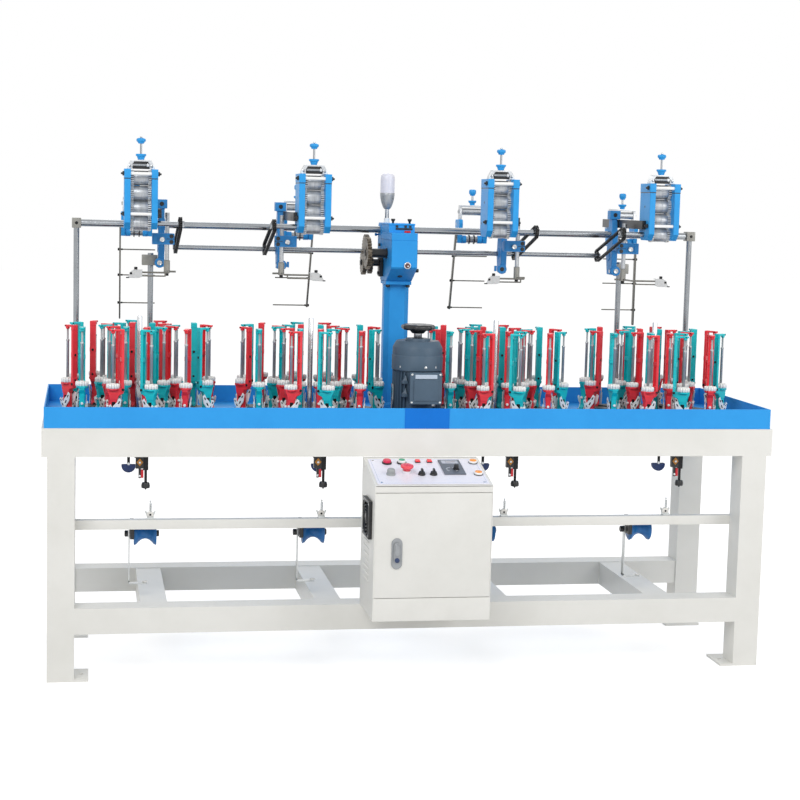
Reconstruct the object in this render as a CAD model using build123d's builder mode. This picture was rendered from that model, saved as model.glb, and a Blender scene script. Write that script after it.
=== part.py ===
from build123d import *
import os
from math import acos, atan2, cos, degrees, hypot, pi, radians, sin

os.makedirs("parts", exist_ok=True)

# Four-head track cord braiding machine, about 2.4 m long.
# X runs along the machine, +Y to the back, +Z up; Z = 0 is the floor.
# The origin is the middle of the bounding box on the floor.

# ------------------------------------------------------------------ sizes (mm)
# table and frame
table_length = 2400.0
table_depth = 690.0
table_z = 809.0                   # top of the frame beams
beam_height = 90.0
beam_width = 85.0
leg_inset = 17.5
leg_width = 85.0
leg_depth = 92.0
foot_size = 130.0
foot_thick = 8.0
anchor_radius = 7.0
anchor_edge = 22.0
rail_z = 153.0
rail_height = 83.0
rail_depth = 85.0
cross_width = 86.0
cross_positions = (-846.0, -281.0, 281.0, 846.0)
yarn_bar_z = 470.5
yarn_bar_height = 31.0
yarn_bar_depth = 30.0
deck_thick = 8.0
rim_height = 66.0
rim_thick = 4.0
rim_inset = 7.0
rim_panel_width = 146.0
rim_panel_x = 20.0

# braiding heads
head_inner = 320.0                # distance of the inner heads from the middle
head_outer = 890.0
head_depth = 345.0                # head axis behind the front face
gears_per_head = 12
gear_circle = 180.0               # radius of the circle of horn gears
track_offset = 55.0               # carrier path radius round a horn gear
track_plate_radius = 262.0
track_plate_hole = 60.0
track_plate_thick = 8.0
horn_radius = 41.0
horn_notch = 27.0
horn_thick = 7.0
core_radius = 9.0
core_bore = 6.0
core_bottom = 700.0
core_top = 1140.0
fit = 0.05                        # radial play of a shaft in its hole
gap = 0.3                         # side play of moving pieces

# carriers
carrier_height = 285.0
carrier_base = 19.0               # half width of the foot on the track
carrier_waist = 13.0              # half width of its narrowest part
carrier_foot = 12.0               # half width of the arm's free end
carrier_width = 20.0
blade_reach = 26.0                # spindle axis to the blade
blade_thick = 8.0
arm_thick = 8.0
carrier_shelf = 96.0              # height of the spool shelf
crown_radius = 17.0
crown_height = 15.0
spindle_radius = 4.5
blade_angle = 128.0               # blade direction from the outward radius, outer carriers
blade_angle_in = 162.0            # the same for the inner carriers

# take-up units
unit_width = 108.0
plate_thick = 20.0
plate_depth = 108.0
plate_bottom = 1424.0
plate_top = 1620.0
roller_pitch = 49.0
roller_bottom = 1444.0            # axis of the lowest roller
roller_core = 21.8
rim_width = 9.0
roller_teeth = 10
tooth_depth = 4.0
tooth_clear = 0.8
input_radius = 8.0
drive_reach = 130.0               # sprocket plane from the head's middle
sprocket_radius = 17.0
sprocket_thick = 7.0
chain_thick = 5.0
chain_width = 9.0
chain_clear = 0.6
chain_sides = 10
tie_radius = 5.0
tie_forward = 46.0

# overhead line: cross tube, line shaft, posts
tube_depth = 610.0
tube_z = 1437.0
tube_radius = 12.5
tube_length = 2164.0
shaft_depth = 635.0
shaft_z = 1360.0
shaft_radius = 9.0
post_radius = 10.0
post_depth = 640.0
post_reach = 45.0                 # support posts from the outer heads' middles
clamp_z = 1296.0
clamp_height = 36.0
end_block = 31.0
end_block_height = 34.0
arm_reach = 68.0                  # inner face of the cast arms from the head's middle
arm_width = 24.0
bar_thick = 14.0
bar_z = 1462.0
bar_height = 30.0

# rear guide units
rear_depth = 770.0
rear_plate_thick = 14.0
rear_plate_depth = 70.0
rear_press_z = 1506.0
rear_press_radius = 13.0
rear_guide_z = 1406.0
rear_guide_radius = 14.0
ladder_reach = 60.0
ladder_rods = (1345.0, 1255.0, 1157.0)
ladder_foot = 1100.0

# column, gearbox and change gears
column_width = 86.0
column_depth = 70.0
column_front = 495.0
gearbox_front = 375.0
gearbox_back = 590.0
gearbox_width = 90.0
gearbox_bottom = 1262.0
gearbox_top = 1430.0
head_block_back = 655.0
head_block_top = 1462.0
output_depth = 466.0
output_z = 1358.0
gear_module = 4.0
driver_teeth = 26
idler_teeth_a = 20
idler_teeth_b = 18
line_teeth = 28
gear_width = 14.0
gear_plane_a = -119.0             # left face of the first gear pair
gear_plane_b = -97.0              # left face of the second gear pair
idler_bore = 7.0
output_bore = 8.0

# motor
motor_x = 8.0
motor_depth = 140.0
motor_radius = 82.0
motor_top = 1092.0
wheel_radius = 58.0

# cabinet
cabinet_width = 374.0
cabinet_front = -240.0            # from the table's front face
cabinet_back = 12.0
cabinet_wall = 3.0
desk_front_z = 664.0
desk_back_z = 716.0
desk_back = -14.0
door_bottom = 310.0
door_top = 640.0
door_thick = 13.6
door_side = 3.0
panel_thick = 2.0
fan_size = 120.0
fan_depth_pos = -137.0
fan_z = 547.0

lock_depth = 13.3                 # the lock stands this far off the door

# ------------------------------------------------------------------ derived places
# y of the table's front face: the origin lies midway between the lock and the rear units
front = -(cabinet_front - lock_depth + rear_depth + rear_plate_depth / 2) / 2
half_l = table_length / 2
cabinet_bottom = rail_z + rail_height      # the cabinet stands on the front rail
deck_z = table_z
deck_top = deck_z + deck_thick
track_top = deck_top + track_plate_thick
head_y = front + head_depth
heads = ((-head_outer, 1), (-head_inner, -1), (head_inner, 1), (head_outer, -1))
leg_x = half_l - leg_inset - leg_width / 2
shaft_y = front + shaft_depth
tube_y = front + tube_depth
post_y = front + post_depth
rear_y = front + rear_depth
roller_axes = tuple(roller_bottom + i * roller_pitch for i in range(4))
roller_half = unit_width / 2 - plate_thick - gap
chain_length = hypot(shaft_y - head_y, shaft_z - roller_bottom)
chain_tilt = degrees(atan2(shaft_z - roller_bottom, shaft_y - head_y))


def box_between(x0, x1, y0, y1, z0, z1):
    """A rectangular block given by its limits, for use inside a BuildPart."""
    with BuildSketch(Plane.XY.offset(z0)) as base:
        with Locations(((x0 + x1) / 2, (y0 + y1) / 2)):
            Rectangle(x1 - x0, y1 - y0)
    extrude(base.sketch, amount=z1 - z0)


def round_bar(plane, centre, radius, length, sides=8):
    """A many-sided bar that starts on a plane and follows its normal."""
    with BuildSketch(plane) as section:
        with Locations(centre):
            RegularPolygon(radius, sides)
    extrude(section.sketch, amount=length)


def snug_hole(centre, radius, sides):
    """Cuts a hole for a fixed bar of the same number of sides into the sketch being drawn."""
    with Locations(centre):
        RegularPolygon(radius + fit / cos(pi / sides), sides, mode=Mode.SUBTRACT)


def turning_hole(centre, radius, sides):
    """Cuts a hole in which a many-sided bar can turn into the sketch being drawn."""
    with Locations(centre):
        RegularPolygon(radius + fit, sides, major_radius=False, rotation=180 / sides, mode=Mode.SUBTRACT)


def turned(plane, centre, rings, sides):
    """A turned shape in flat facets, through rings of (distance along the normal, radius)."""
    rows = []
    for distance, radius in rings:
        corners = []
        for i in range(sides):
            a = 2 * pi * i / sides
            corner = Vector(centre[0] + radius * cos(a), centre[1] + radius * sin(a), distance)
            corners.append(plane.from_local_coords(corner))
        rows.append(corners)
    facets = [Face(Wire.make_polygon(rows[0])), Face(Wire.make_polygon(rows[-1]))]
    for low, high in zip(rows, rows[1:]):
        for i in range(sides):
            j = (i + 1) % sides
            facets.append(Face(Wire.make_polygon((low[i], low[j], high[j], high[i]))))
    add(Solid(Shell(facets)))


def tooth_outline(teeth, mean_radius, depth, first):
    """Points of a toothed ring with pointed teeth, the first tooth at angle first."""
    points = []
    for i in range(2 * teeth):
        r = mean_radius + (depth / 2 if i % 2 == 0 else -depth / 2)
        a = radians(first) + pi * i / teeth
        points.append((r * cos(a), r * sin(a)))
    return points


# ================================================================== frame
# Four box-section legs on anchored foot plates.
with BuildPart() as legs:
    for sx in (-1, 1):
        for y0 in (front, front + table_depth - leg_depth):
            with BuildSketch(Plane.XY.offset(foot_thick)):
                with Locations((sx * leg_x, y0 + leg_depth / 2)):
                    Rectangle(leg_width, leg_depth)
            extrude(amount=table_z - beam_height - foot_thick)
foot_in = half_l - leg_inset - foot_size
with BuildPart() as foot_plates:
    for sx in (-1, 1):
        for y0 in (front, front + table_depth - foot_size):
            with BuildSketch():
                with Locations((sx * (foot_in + foot_size / 2), y0 + foot_size / 2)):
                    Rectangle(foot_size, foot_size)
                with Locations((sx * (foot_in + anchor_edge), y0 + foot_size / 2)):
                    Circle(anchor_radius, mode=Mode.SUBTRACT)
    extrude(amount=foot_thick)
legs_all = Compound(label="legs", children=[legs.part, foot_plates.part])
export_step(legs_all, "parts/legs.step")

# The top frame: two long beams with the end beams butted between them.
with BuildPart() as long_beams:
    for y0 in (front, front + table_depth - beam_width):
        box_between(-half_l, half_l, y0, y0 + beam_width, table_z - beam_height, table_z)
with BuildPart() as end_beams:
    for sx in (-1, 1):
        x0 = sx * (half_l - beam_width / 2)
        y0 = front + beam_width
        y1 = front + table_depth - beam_width
        box_between(x0 - beam_width / 2, x0 + beam_width / 2, y0, y1, table_z - beam_height, table_z)
top_frame = Compound(label="top_frame", children=[long_beams.part, end_beams.part])
export_step(top_frame, "parts/top_frame.step")

# The lower frame: front and back rails between the legs, four cross members.
rail_half = leg_x - leg_width / 2
with BuildPart() as rails:
    for y0 in (front, front + table_depth - rail_depth):
        box_between(-rail_half, rail_half, y0, y0 + rail_depth, rail_z, rail_z + rail_height)
with BuildPart() as cross_members:
    for x in cross_positions:
        y0 = front + rail_depth
        y1 = front + table_depth - rail_depth
        box_between(x - cross_width / 2, x + cross_width / 2, y0, y1, rail_z, rail_z + rail_height - 2)
lower_frame = Compound(label="lower_frame", children=[rails.part, cross_members.part])
export_step(lower_frame, "parts/lower_frame.step")

# The yarn bar across the back faces of the front legs.
bar_y = front + leg_depth
with BuildPart() as yarn_bar:
    box_between(-leg_x, leg_x, bar_y, bar_y + yarn_bar_depth, yarn_bar_z, yarn_bar_z + yarn_bar_height)
post_spots = (-859.0, -305.0, 309.0, 872.0)
yarn_top = yarn_bar_z + yarn_bar_height
post_mid = bar_y + yarn_bar_depth / 2
with BuildPart() as eyelet_posts:
    for x in post_spots:
        # clamp, disc of the tension eye at its front, and the spring stud on top
        box_between(x - 13, x + 13, post_mid - 11, post_mid + 11, yarn_top, yarn_top + 10)
        round_bar(Plane.XZ.offset(-(post_mid - 5)), (x, yarn_top + 17), 13, 12)
        round_bar(Plane.XY.offset(yarn_top + 28), (x, post_mid - 11), 5, 34, 5)
yarn_group = Compound(label="yarn_bar", children=[yarn_bar.part, eyelet_posts.part])
export_step(yarn_group, "parts/yarn_bar.step")

# ================================================================== table
# The deck plate, pierced under each head for the core tube.
deck_in = rim_inset + rim_thick + gap
with BuildPart() as table_deck:
    with BuildSketch(Plane.XY.offset(deck_z)):
        with Locations((0, front + table_depth / 2)):
            Rectangle(table_length - 2 * deck_in, table_depth - 2 * deck_in)
        for x, s in heads:
            snug_hole((x, head_y), core_radius, 8)
    extrude(amount=deck_thick)
table_deck.part.label = "table_deck"
export_step(table_deck.part, "parts/table_deck.step")

# The raised sheet rim round the deck: four walls, and a cover panel in the middle of the front.
rim_x = half_l - rim_inset
rim_y0 = front + rim_inset
rim_y1 = front + table_depth - rim_inset
with BuildPart() as rim_long:
    for y0 in (rim_y0, rim_y1 - rim_thick):
        box_between(-rim_x, rim_x, y0, y0 + rim_thick, deck_z, deck_z + rim_height)
with BuildPart() as rim_ends:
    for x0 in (-rim_x, rim_x - rim_thick):
        box_between(x0, x0 + rim_thick, rim_y0 + rim_thick, rim_y1 - rim_thick, deck_z, deck_z + rim_height)
with BuildPart() as rim_panel:
    x0 = rim_panel_x - rim_panel_width / 2
    box_between(x0, x0 + rim_panel_width, rim_y0 - 2, rim_y0, deck_z, deck_z + rim_height)
table_rim = Compound(label="table_rim", children=[rim_long.part, rim_ends.part, rim_panel.part])
export_step(table_rim, "parts/table_rim.step")

# ================================================================== braiding heads
with BuildPart() as track_plates:
    with BuildSketch(Plane.XY.offset(deck_top)):
        with Locations(*[(x, head_y) for x, s in heads]):
            RegularPolygon(track_plate_radius, 20)
            RegularPolygon(track_plate_hole, 8, mode=Mode.SUBTRACT)
    extrude(amount=track_plate_thick)
track_plates.part.label = "track_plates"
export_step(track_plates.part, "parts/track_plates.step")

# One four-horned gear, repeated on twelve centres under every head.
step = 360.0 / gears_per_head
phase = 7.5                       # the first gear stands this far round from +X
star = []
for i in range(8):
    r = horn_radius if i % 2 else horn_notch
    star.append((r * cos(i * pi / 4), r * sin(i * pi / 4)))
with BuildPart() as horn_gear:
    with BuildSketch():
        Polygon(*star, align=None)
    extrude(amount=horn_thick)
horn_places = []
for head_x, side in heads:
    for i in range(gears_per_head):
        a = phase + i * step
        x = head_x + gear_circle * cos(radians(a))
        y = head_y + gear_circle * sin(radians(a))
        horn_places.append(Location((x, y, track_top), (0, 0, a)))
horn_gears = Compound(label="horn_gears", children=[horn_gear.part.moved(p) for p in horn_places])
export_step(horn_gears, "parts/horn_gears.step")

# One spool carrier: cast foot with its shelf, upright blade, and the arm over the spindle.
shelf = carrier_shelf
tip = blade_reach + blade_thick
under = carrier_height - arm_thick
foot_side = (
    (-carrier_base, 0), (carrier_base, 0), (carrier_waist, shelf - 34), (tip, shelf - 12),
    (tip, shelf), (-carrier_waist - 4, shelf),
)
with BuildPart() as carrier_body:
    with BuildSketch(Plane.XZ):
        Polygon(*foot_side, align=None)
    extrude(amount=carrier_width / 2, both=True)
with BuildPart() as carrier_blade:
    box_between(blade_reach, tip, -carrier_width / 2, carrier_width / 2, shelf, carrier_height)
with BuildPart() as carrier_arm:
    box_between(-carrier_foot, blade_reach, -carrier_width / 2, carrier_width / 2, under, carrier_height)
carrier_pieces = (carrier_body.part, carrier_blade.part, carrier_arm.part)
with BuildPart() as carrier_crown:
    with BuildSketch(Plane.XY.offset(shelf)):
        RegularPolygon(crown_radius, 5)
    extrude(amount=crown_height)
with BuildPart() as carrier_spindle:
    with BuildSketch(Plane.XY.offset(shelf + crown_height)):
        RegularPolygon(spindle_radius, 3)
    extrude(amount=under - shelf - crown_height)

# Two carriers ride each horn gear, one outside and one inside its centre.
# The two colours run opposite ways, so their blades are mirrored.
red_places = []
teal_places = []
for head_x, side in heads:
    for i in range(gears_per_head):
        a = phase + i * step
        for out in (1, -1):
            r = gear_circle + out * track_offset
            x = head_x + r * cos(radians(a))
            y = head_y + r * sin(radians(a))
            red = (i % 2 == 0) == (out == 1)
            swing = blade_angle if out == 1 else blade_angle_in
            turn = a + swing if red else a - swing
            place = Location((x, y, track_top), (0, 0, turn))
            (red_places if red else teal_places).append(place)
red_pieces = [piece.moved(p) for p in red_places for piece in carrier_pieces]
carriers_red = Compound(label="carriers_red", children=red_pieces)
export_step(carriers_red, "parts/carriers_red.step")
teal_pieces = [piece.moved(p) for p in teal_places for piece in carrier_pieces]
carriers_teal = Compound(label="carriers_teal", children=teal_pieces)
export_step(carriers_teal, "parts/carriers_teal.step")
all_places = red_places + teal_places
crowns = [carrier_crown.part.moved(p) for p in all_places]
spindles = [carrier_spindle.part.moved(p) for p in all_places]
carrier_spindles = Compound(label="carrier_spindles", children=crowns + spindles)
export_step(carrier_spindles, "parts/carrier_spindles.step")

# The hollow core tube in the middle of each head.
with BuildPart() as core_tubes:
    with BuildSketch(Plane.XY.offset(core_bottom)):
        with Locations(*[(x, head_y) for x, s in heads]):
            RegularPolygon(core_radius, 8)
            RegularPolygon(core_bore, 8, major_radius=False, mode=Mode.SUBTRACT)
    extrude(amount=core_top - core_bottom)
core_tubes.part.label = "core_tubes"
export_step(core_tubes.part, "parts/core_tubes.step")

# ================================================================== overhead line
# Posts: one at each end of the cross tube, and one behind each outer head.
end_x = tube_length / 2 + end_block / 2
outer_heads = [(hx, s) for hx, s in heads if abs(hx) == head_outer]
with BuildPart() as posts:
    for x in (-end_x, end_x):
        under_block = tube_z - end_block_height / 2
        round_bar(Plane.XY.offset(deck_top), (x, tube_y), post_radius, under_block - deck_top)
    for hx, s in outer_heads:
        x = hx + s * post_reach
        over_clamp = clamp_z + clamp_height + 6
        round_bar(Plane.XY.offset(deck_top), (x, post_y), post_radius, over_clamp - deck_top)
with BuildPart() as post_blocks:
    z0 = tube_z - end_block_height / 2
    for x in (-end_x, end_x):
        box_between(x - end_block / 2, x + end_block / 2, tube_y - 20, tube_y + 20, z0, z0 + end_block_height)
    for hx, s in outer_heads:
        with BuildSketch(Plane.XY.offset(clamp_z)):
            with Locations((hx + s * (15 + arm_reach) / 2, post_y)):
                Rectangle(arm_reach - 15, 44)
            snug_hole((hx + s * post_reach, post_y), post_radius, 8)
        extrude(amount=clamp_height)
posts_all = Compound(label="posts", children=[posts.part, post_blocks.part])
export_step(posts_all, "parts/posts.step")

with BuildPart() as cross_tube:
    with BuildSketch(Plane.YZ.offset(-tube_length / 2)):
        with Locations((tube_y, tube_z)):
            RegularPolygon(tube_radius, 12)
            RegularPolygon(tube_radius - 2.5, 12, mode=Mode.SUBTRACT)
    extrude(amount=tube_length)
cross_tube.part.label = "cross_tube"
export_step(cross_tube.part, "parts/cross_tube.step")

# Cast arms: each clasps the cross tube and the line shaft; the outer two also lean on a post block.
arm_side = (
    (-44, 1293), (10, 1293), (24, 1345), (20, 1392), (0, 1505), (-8, 1522), (-28, 1522),
    (-50, 1425), (-50, 1360),
)
with BuildPart() as unit_arms:
    for hx, s in heads:
        xa = min(hx + s * arm_reach, hx + s * (arm_reach + arm_width))
        with BuildSketch(Plane.YZ.offset(xa)):
            with Locations((shaft_y, 0)):
                Polygon(*arm_side, align=None)
            snug_hole((tube_y, tube_z), tube_radius, 12)
            turning_hole((shaft_y, shaft_z), shaft_radius, 12)
            with Locations((shaft_y - 18, 1502)):
                RegularPolygon(6, 6, mode=Mode.SUBTRACT)
        extrude(amount=arm_width)
unit_arms.part.label = "unit_arms"
export_step(unit_arms.part, "parts/unit_arms.step")

# Black flat bars, fore and aft, that carry the front and rear units on each arm.
bar_front = head_y - 20
bar_back = rear_y + 20
with BuildPart() as support_bars:
    for hx, s in heads:
        xa, xb = sorted((hx + s * (arm_reach - bar_thick), hx + s * arm_reach))
        box_between(xa, xb, bar_front, bar_back, bar_z, bar_z + bar_height)

# Bracket from each arm forward to the clamp round the braid guide's upright rod.
rod_reach = arm_reach + arm_width / 2 + 12
rod_y = front + 445
arm_front = shaft_y - 50
with BuildPart() as guide_brackets:
    for hx, s in heads:
        xa, xb = sorted((hx + s * arm_reach, hx + s * (arm_reach + arm_width)))
        box_between(xa, xb, rod_y + 16, arm_front, 1380, 1404)
        with BuildSketch(Plane.XY.offset(1373)):
            with Locations((hx + s * (rod_reach - 2), rod_y)):
                Rectangle(52, 32)
            snug_hole((hx + s * rod_reach, rod_y), 6, 8)
        extrude(amount=38)
unit_brackets = Compound(label="unit_brackets", children=[support_bars.part, guide_brackets.part])
export_step(unit_brackets, "parts/unit_brackets.step")

# Upright rod with its sleeve, and the thin rod that ends in the braid guide.
guide_z = 1283.0
with BuildPart() as guide_rods:
    for hx, s in heads:
        x = hx + s * rod_reach
        round_bar(Plane.XY.offset(1321), (x, rod_y), 6, 159)
        round_bar(Plane.XY.offset(1268), (x, rod_y), 9, 53)
        round_bar(Plane.XZ.offset(-rod_y), (x, guide_z), 3, rod_y - head_y + 3, 6)
        xa, xb = sorted((x, hx + s * 8))
        round_bar(Plane.YZ.offset(xa), (head_y, guide_z), 3, xb - xa, 6)
# The fork at the rod's end stands round the line of the braid.
with BuildPart() as guide_forks:
    for hx, s in heads:
        with BuildSketch(Plane.XY.offset(guide_z + 3)):
            with Locations((hx, head_y)):
                Rectangle(26, 20)
            with Locations((hx - s * 4, head_y)):
                Rectangle(20, 9, mode=Mode.SUBTRACT)
        extrude(amount=4)
braid_guides = Compound(label="braid_guides", children=[guide_rods.part, guide_forks.part])
export_step(braid_guides, "parts/braid_guides.step")

# ================================================================== take-up units
# Side plates, pointed at the foot; the one on the drive side has the driven roller's shaft hole.
half_p = plate_depth / 2
plate_side = (
    (-half_p, plate_bottom + 22), (-half_p + 24, plate_bottom), (half_p - 24, plate_bottom),
    (half_p, plate_bottom + 22), (half_p, plate_top), (-half_p, plate_top),
)
with BuildPart() as unit_plates:
    for hx, s in heads:
        for side in (-1, 1):
            x0 = hx - plate_thick / 2 + side * (unit_width - plate_thick) / 2
            with BuildSketch(Plane.YZ.offset(x0)):
                with Locations((head_y, 0)):
                    Polygon(*plate_side, align=None)
                if side == s:
                    turning_hole((head_y, roller_bottom), input_radius, 10)
            extrude(amount=plate_thick)
unit_plates.part.label = "unit_plates"
export_step(unit_plates.part, "parts/unit_plates.step")

# Two bright tie rods join each pair of plates in front of the rollers.
inner = unit_width / 2 - plate_thick
with BuildPart() as tie_rods:
    for hx, s in heads:
        for z in (plate_top - 12, roller_axes[0] + 30):
            round_bar(Plane.YZ.offset(hx - inner), (head_y - tie_forward, z), tie_radius, 2 * inner)

# Four stacked take-up rollers in each unit. Their toothed rims mesh one above the other.
mean_r = (roller_pitch - tooth_clear) / 2
tooth_step = 360.0 / roller_teeth
first_tooth = (90.0, 90.0 + tooth_step / 2, 90.0, 90.0 + tooth_step / 2)
for level in range(4):
    z = roller_axes[level]
    ring = tooth_outline(roller_teeth, mean_r, tooth_depth, first_tooth[level])
    with BuildPart() as roller:
        for hx, s in heads:
            with BuildSketch(Plane.YZ.offset(hx - roller_half)):
                with Locations((head_y, z)):
                    Polygon(*ring, align=None)
            extrude(amount=rim_width)
            with BuildSketch(Plane.YZ.offset(hx + roller_half - rim_width)):
                with Locations((head_y, z)):
                    Polygon(*ring, align=None)
            extrude(amount=rim_width)
            with BuildSketch(Plane.YZ.offset(hx - roller_half + rim_width)):
                with Locations((head_y, z)):
                    RegularPolygon(roller_core, 8)
            extrude(amount=2 * roller_half - 2 * rim_width)
            if level == 0:
                # the driven roller's shaft runs out through the plate to its sprocket
                xa, xb = sorted((hx + s * roller_half, hx + s * (drive_reach + 10)))
                round_bar(Plane.YZ.offset(xa), (head_y, z), input_radius, xb - xa, 10)
                x0 = hx + s * drive_reach - sprocket_thick / 2
                with BuildSketch(Plane.YZ.offset(x0)):
                    with Locations((head_y, z)):
                        RegularPolygon(sprocket_radius, chain_sides, rotation=chain_tilt)
                extrude(amount=sprocket_thick)
    name = "takeup_roller_" + str(level + 1)
    roller.part.label = name
    export_step(roller.part, "parts/" + name + ".step")

# Pressing frame on top of each unit with its screw cup, and the knob above it.
with BuildPart() as press_frames:
    for hx, s in heads:
        box_between(hx - 40, hx + 40, head_y - 16, head_y + 16, plate_top, plate_top + 28)

cup_z = plate_top + 28
with BuildPart() as press_cups:
    for hx, s in heads:
        turned(Plane.XY, (hx, head_y), ((cup_z, 9), (cup_z + 6, 9), (cup_z + 30, 16)), 8)
        round_bar(Plane.XY.offset(cup_z + 30), (hx, head_y), 4.5, 24, 6)
unit_fittings = Compound(
    label="unit_fittings", children=[tie_rods.part, press_frames.part, press_cups.part]
)
export_step(unit_fittings, "parts/unit_fittings.step")

knob_z = cup_z + 54 + gap
knob_rings = ((knob_z, 9), (knob_z + 9, 14), (knob_z + 22, 14), (knob_z + 25, 11))
for k, (hx, s) in enumerate(heads):
    with BuildPart() as knob:
        turned(Plane.XY, (hx, head_y), knob_rings, 8)
    name = "press_knob_" + str(k + 1)
    knob.part.label = name
    export_step(knob.part, "parts/" + name + ".step")

# ================================================================== rear guide units
with BuildPart() as rear_plates:
    for hx, s in heads:
        for x0 in (hx - unit_width / 2, hx + unit_width / 2 - rear_plate_thick):
            with BuildSketch(Plane.YZ.offset(x0)):
                with Locations((rear_y, 0)):
                    Polygon(
                        (-35, 1455), (-18, 1392), (18, 1392), (35, 1455), (35, 1494), (20, 1522),
                        (-20, 1522), (-35, 1494), align=None,
                    )
            extrude(amount=rear_plate_thick)

rear_half = unit_width / 2 - rear_plate_thick - gap
with BuildPart() as rear_press_rollers:
    for hx, s in heads:
        round_bar(Plane.YZ.offset(hx - rear_half), (rear_y, rear_press_z), rear_press_radius, 2 * rear_half)
rear_press_rollers.part.label = "rear_press_rollers"
export_step(rear_press_rollers.part, "parts/rear_press_rollers.step")

with BuildPart() as rear_guide_rollers:
    for hx, s in heads:
        round_bar(Plane.YZ.offset(hx - rear_half), (rear_y, rear_guide_z), rear_guide_radius, 2 * rear_half)
        for x0 in (hx - 24, hx + 18):
            round_bar(Plane.YZ.offset(x0), (rear_y, rear_guide_z), rear_guide_radius + 6, 6)
rear_guide_rollers.part.label = "rear_guide_rollers"
export_step(rear_guide_rollers.part, "parts/rear_guide_rollers.step")

# The rear screw: bridge, cup and knob over each rear roller pair.
with BuildPart() as rear_screws:
    for hx, s in heads:
        box_between(hx - 50, hx + 50, rear_y - 12, rear_y + 12, 1522, 1530)
        round_bar(Plane.XY.offset(1530), (hx, rear_y), 13, 12)
        round_bar(Plane.XY.offset(1542), (hx, rear_y), 4.5, 22)
        round_bar(Plane.XY.offset(1564), (hx, rear_y), 12, 24)
rear_units = Compound(label="rear_units", children=[rear_plates.part, rear_screws.part])
export_step(rear_units, "parts/rear_units.step")

# Ladder guides: a flat strip down from each rear unit with three thin cross rods.
with BuildPart() as ladder_strips:
    for hx, s in heads:
        xf = hx - s * unit_width / 2
        xa, xb = sorted((xf, xf - s * 5))
        box_between(xa, xb, rear_y - 8, rear_y + 8, ladder_foot, 1440)
with BuildPart() as ladder_bars:
    for hx, s in heads:
        xf = hx - s * unit_width / 2
        for z in ladder_rods:
            x0 = min(xf, xf + s * 2 * ladder_reach)
            round_bar(Plane.YZ.offset(x0), (rear_y, z), 3, 2 * ladder_reach, 4)
ladder_guides = Compound(label="ladder_guides", children=[ladder_strips.part, ladder_bars.part])
export_step(ladder_guides, "parts/ladder_guides.step")

# ================================================================== drive line
# Change gear centres: the idler axle lies below the line through the other two shafts.
def pitch_radius(teeth):
    return gear_module * teeth / 2


output_y = front + output_depth
reach_a = pitch_radius(driver_teeth) + pitch_radius(idler_teeth_a)
reach_b = pitch_radius(idler_teeth_b) + pitch_radius(line_teeth)
base = hypot(shaft_y - output_y, shaft_z - output_z)
tilt = atan2(shaft_z - output_z, shaft_y - output_y)
angle_a = acos((reach_a**2 + base**2 - reach_b**2) / (2 * reach_a * base))
idler_y = output_y + reach_a * cos(tilt - angle_a)
idler_z = output_z + reach_a * sin(tilt - angle_a)
gear_depth = 1.7 * gear_module
gear_slack = 0.45                 # each gear's mean radius is this much under its pitch radius

# Direction from each shaft to the idler and back, for putting tooth against gap.
to_idler_a = degrees(atan2(idler_z - output_z, idler_y - output_y))
to_idler_b = degrees(atan2(idler_z - shaft_z, idler_y - shaft_y))


def gear_outline(teeth, first):
    return tooth_outline(teeth, pitch_radius(teeth) - gear_slack, gear_depth, first)


# The line shaft with its change gear and one sprocket for every head.
sprocket_x = [hx + s * drive_reach for hx, s in heads]
shaft_half = max(sprocket_x) + sprocket_thick / 2 + 6
with BuildPart() as line_shaft:
    round_bar(Plane.YZ.offset(-shaft_half), (shaft_y, shaft_z), shaft_radius, 2 * shaft_half, 12)
    with BuildSketch(Plane.YZ.offset(gear_plane_b)):
        with Locations((shaft_y, shaft_z)):
            Polygon(*gear_outline(line_teeth, to_idler_b), align=None)
    extrude(amount=gear_width)
    for x in sprocket_x:
        with BuildSketch(Plane.YZ.offset(x - sprocket_thick / 2)):
            with Locations((shaft_y, shaft_z)):
                RegularPolygon(sprocket_radius, chain_sides, rotation=chain_tilt)
        extrude(amount=sprocket_thick)
line_shaft.part.label = "line_shaft"
export_step(line_shaft.part, "parts/line_shaft.step")

# The compound idler: a left gear driven by the gearbox, a right gear that drives the line shaft.
first_b = to_idler_b + 180 + 180.0 / idler_teeth_b
first_a = to_idler_a + 180 + 180.0 / idler_teeth_a
with BuildPart() as idler_gear:
    with BuildSketch(Plane.YZ.offset(gear_plane_a)):
        with Locations((idler_y, idler_z)):
            Polygon(*gear_outline(idler_teeth_a, first_a), align=None)
        turning_hole((idler_y, idler_z), idler_bore, 10)
    extrude(amount=gear_width)
    with BuildSketch(Plane.YZ.offset(gear_plane_a + gear_width)):
        with Locations((idler_y, idler_z)):
            RegularPolygon(20, 12)
        turning_hole((idler_y, idler_z), idler_bore, 10)
    extrude(amount=gear_plane_b - gear_plane_a - gear_width)
    with BuildSketch(Plane.YZ.offset(gear_plane_b)):
        with Locations((idler_y, idler_z)):
            Polygon(*gear_outline(idler_teeth_b, first_b), align=None)
        turning_hole((idler_y, idler_z), idler_bore, 10)
    extrude(amount=gear_width)
idler_gear.part.label = "idler_gear"
export_step(idler_gear.part, "parts/idler_gear.step")

with BuildPart() as driver_gear:
    with BuildSketch(Plane.YZ.offset(gear_plane_a)):
        with Locations((output_y, output_z)):
            Polygon(*gear_outline(driver_teeth, to_idler_a), align=None)
        turning_hole((output_y, output_z), output_bore, 10)
    extrude(amount=gear_width)
driver_gear.part.label = "driver_gear"
export_step(driver_gear.part, "parts/driver_gear.step")

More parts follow.
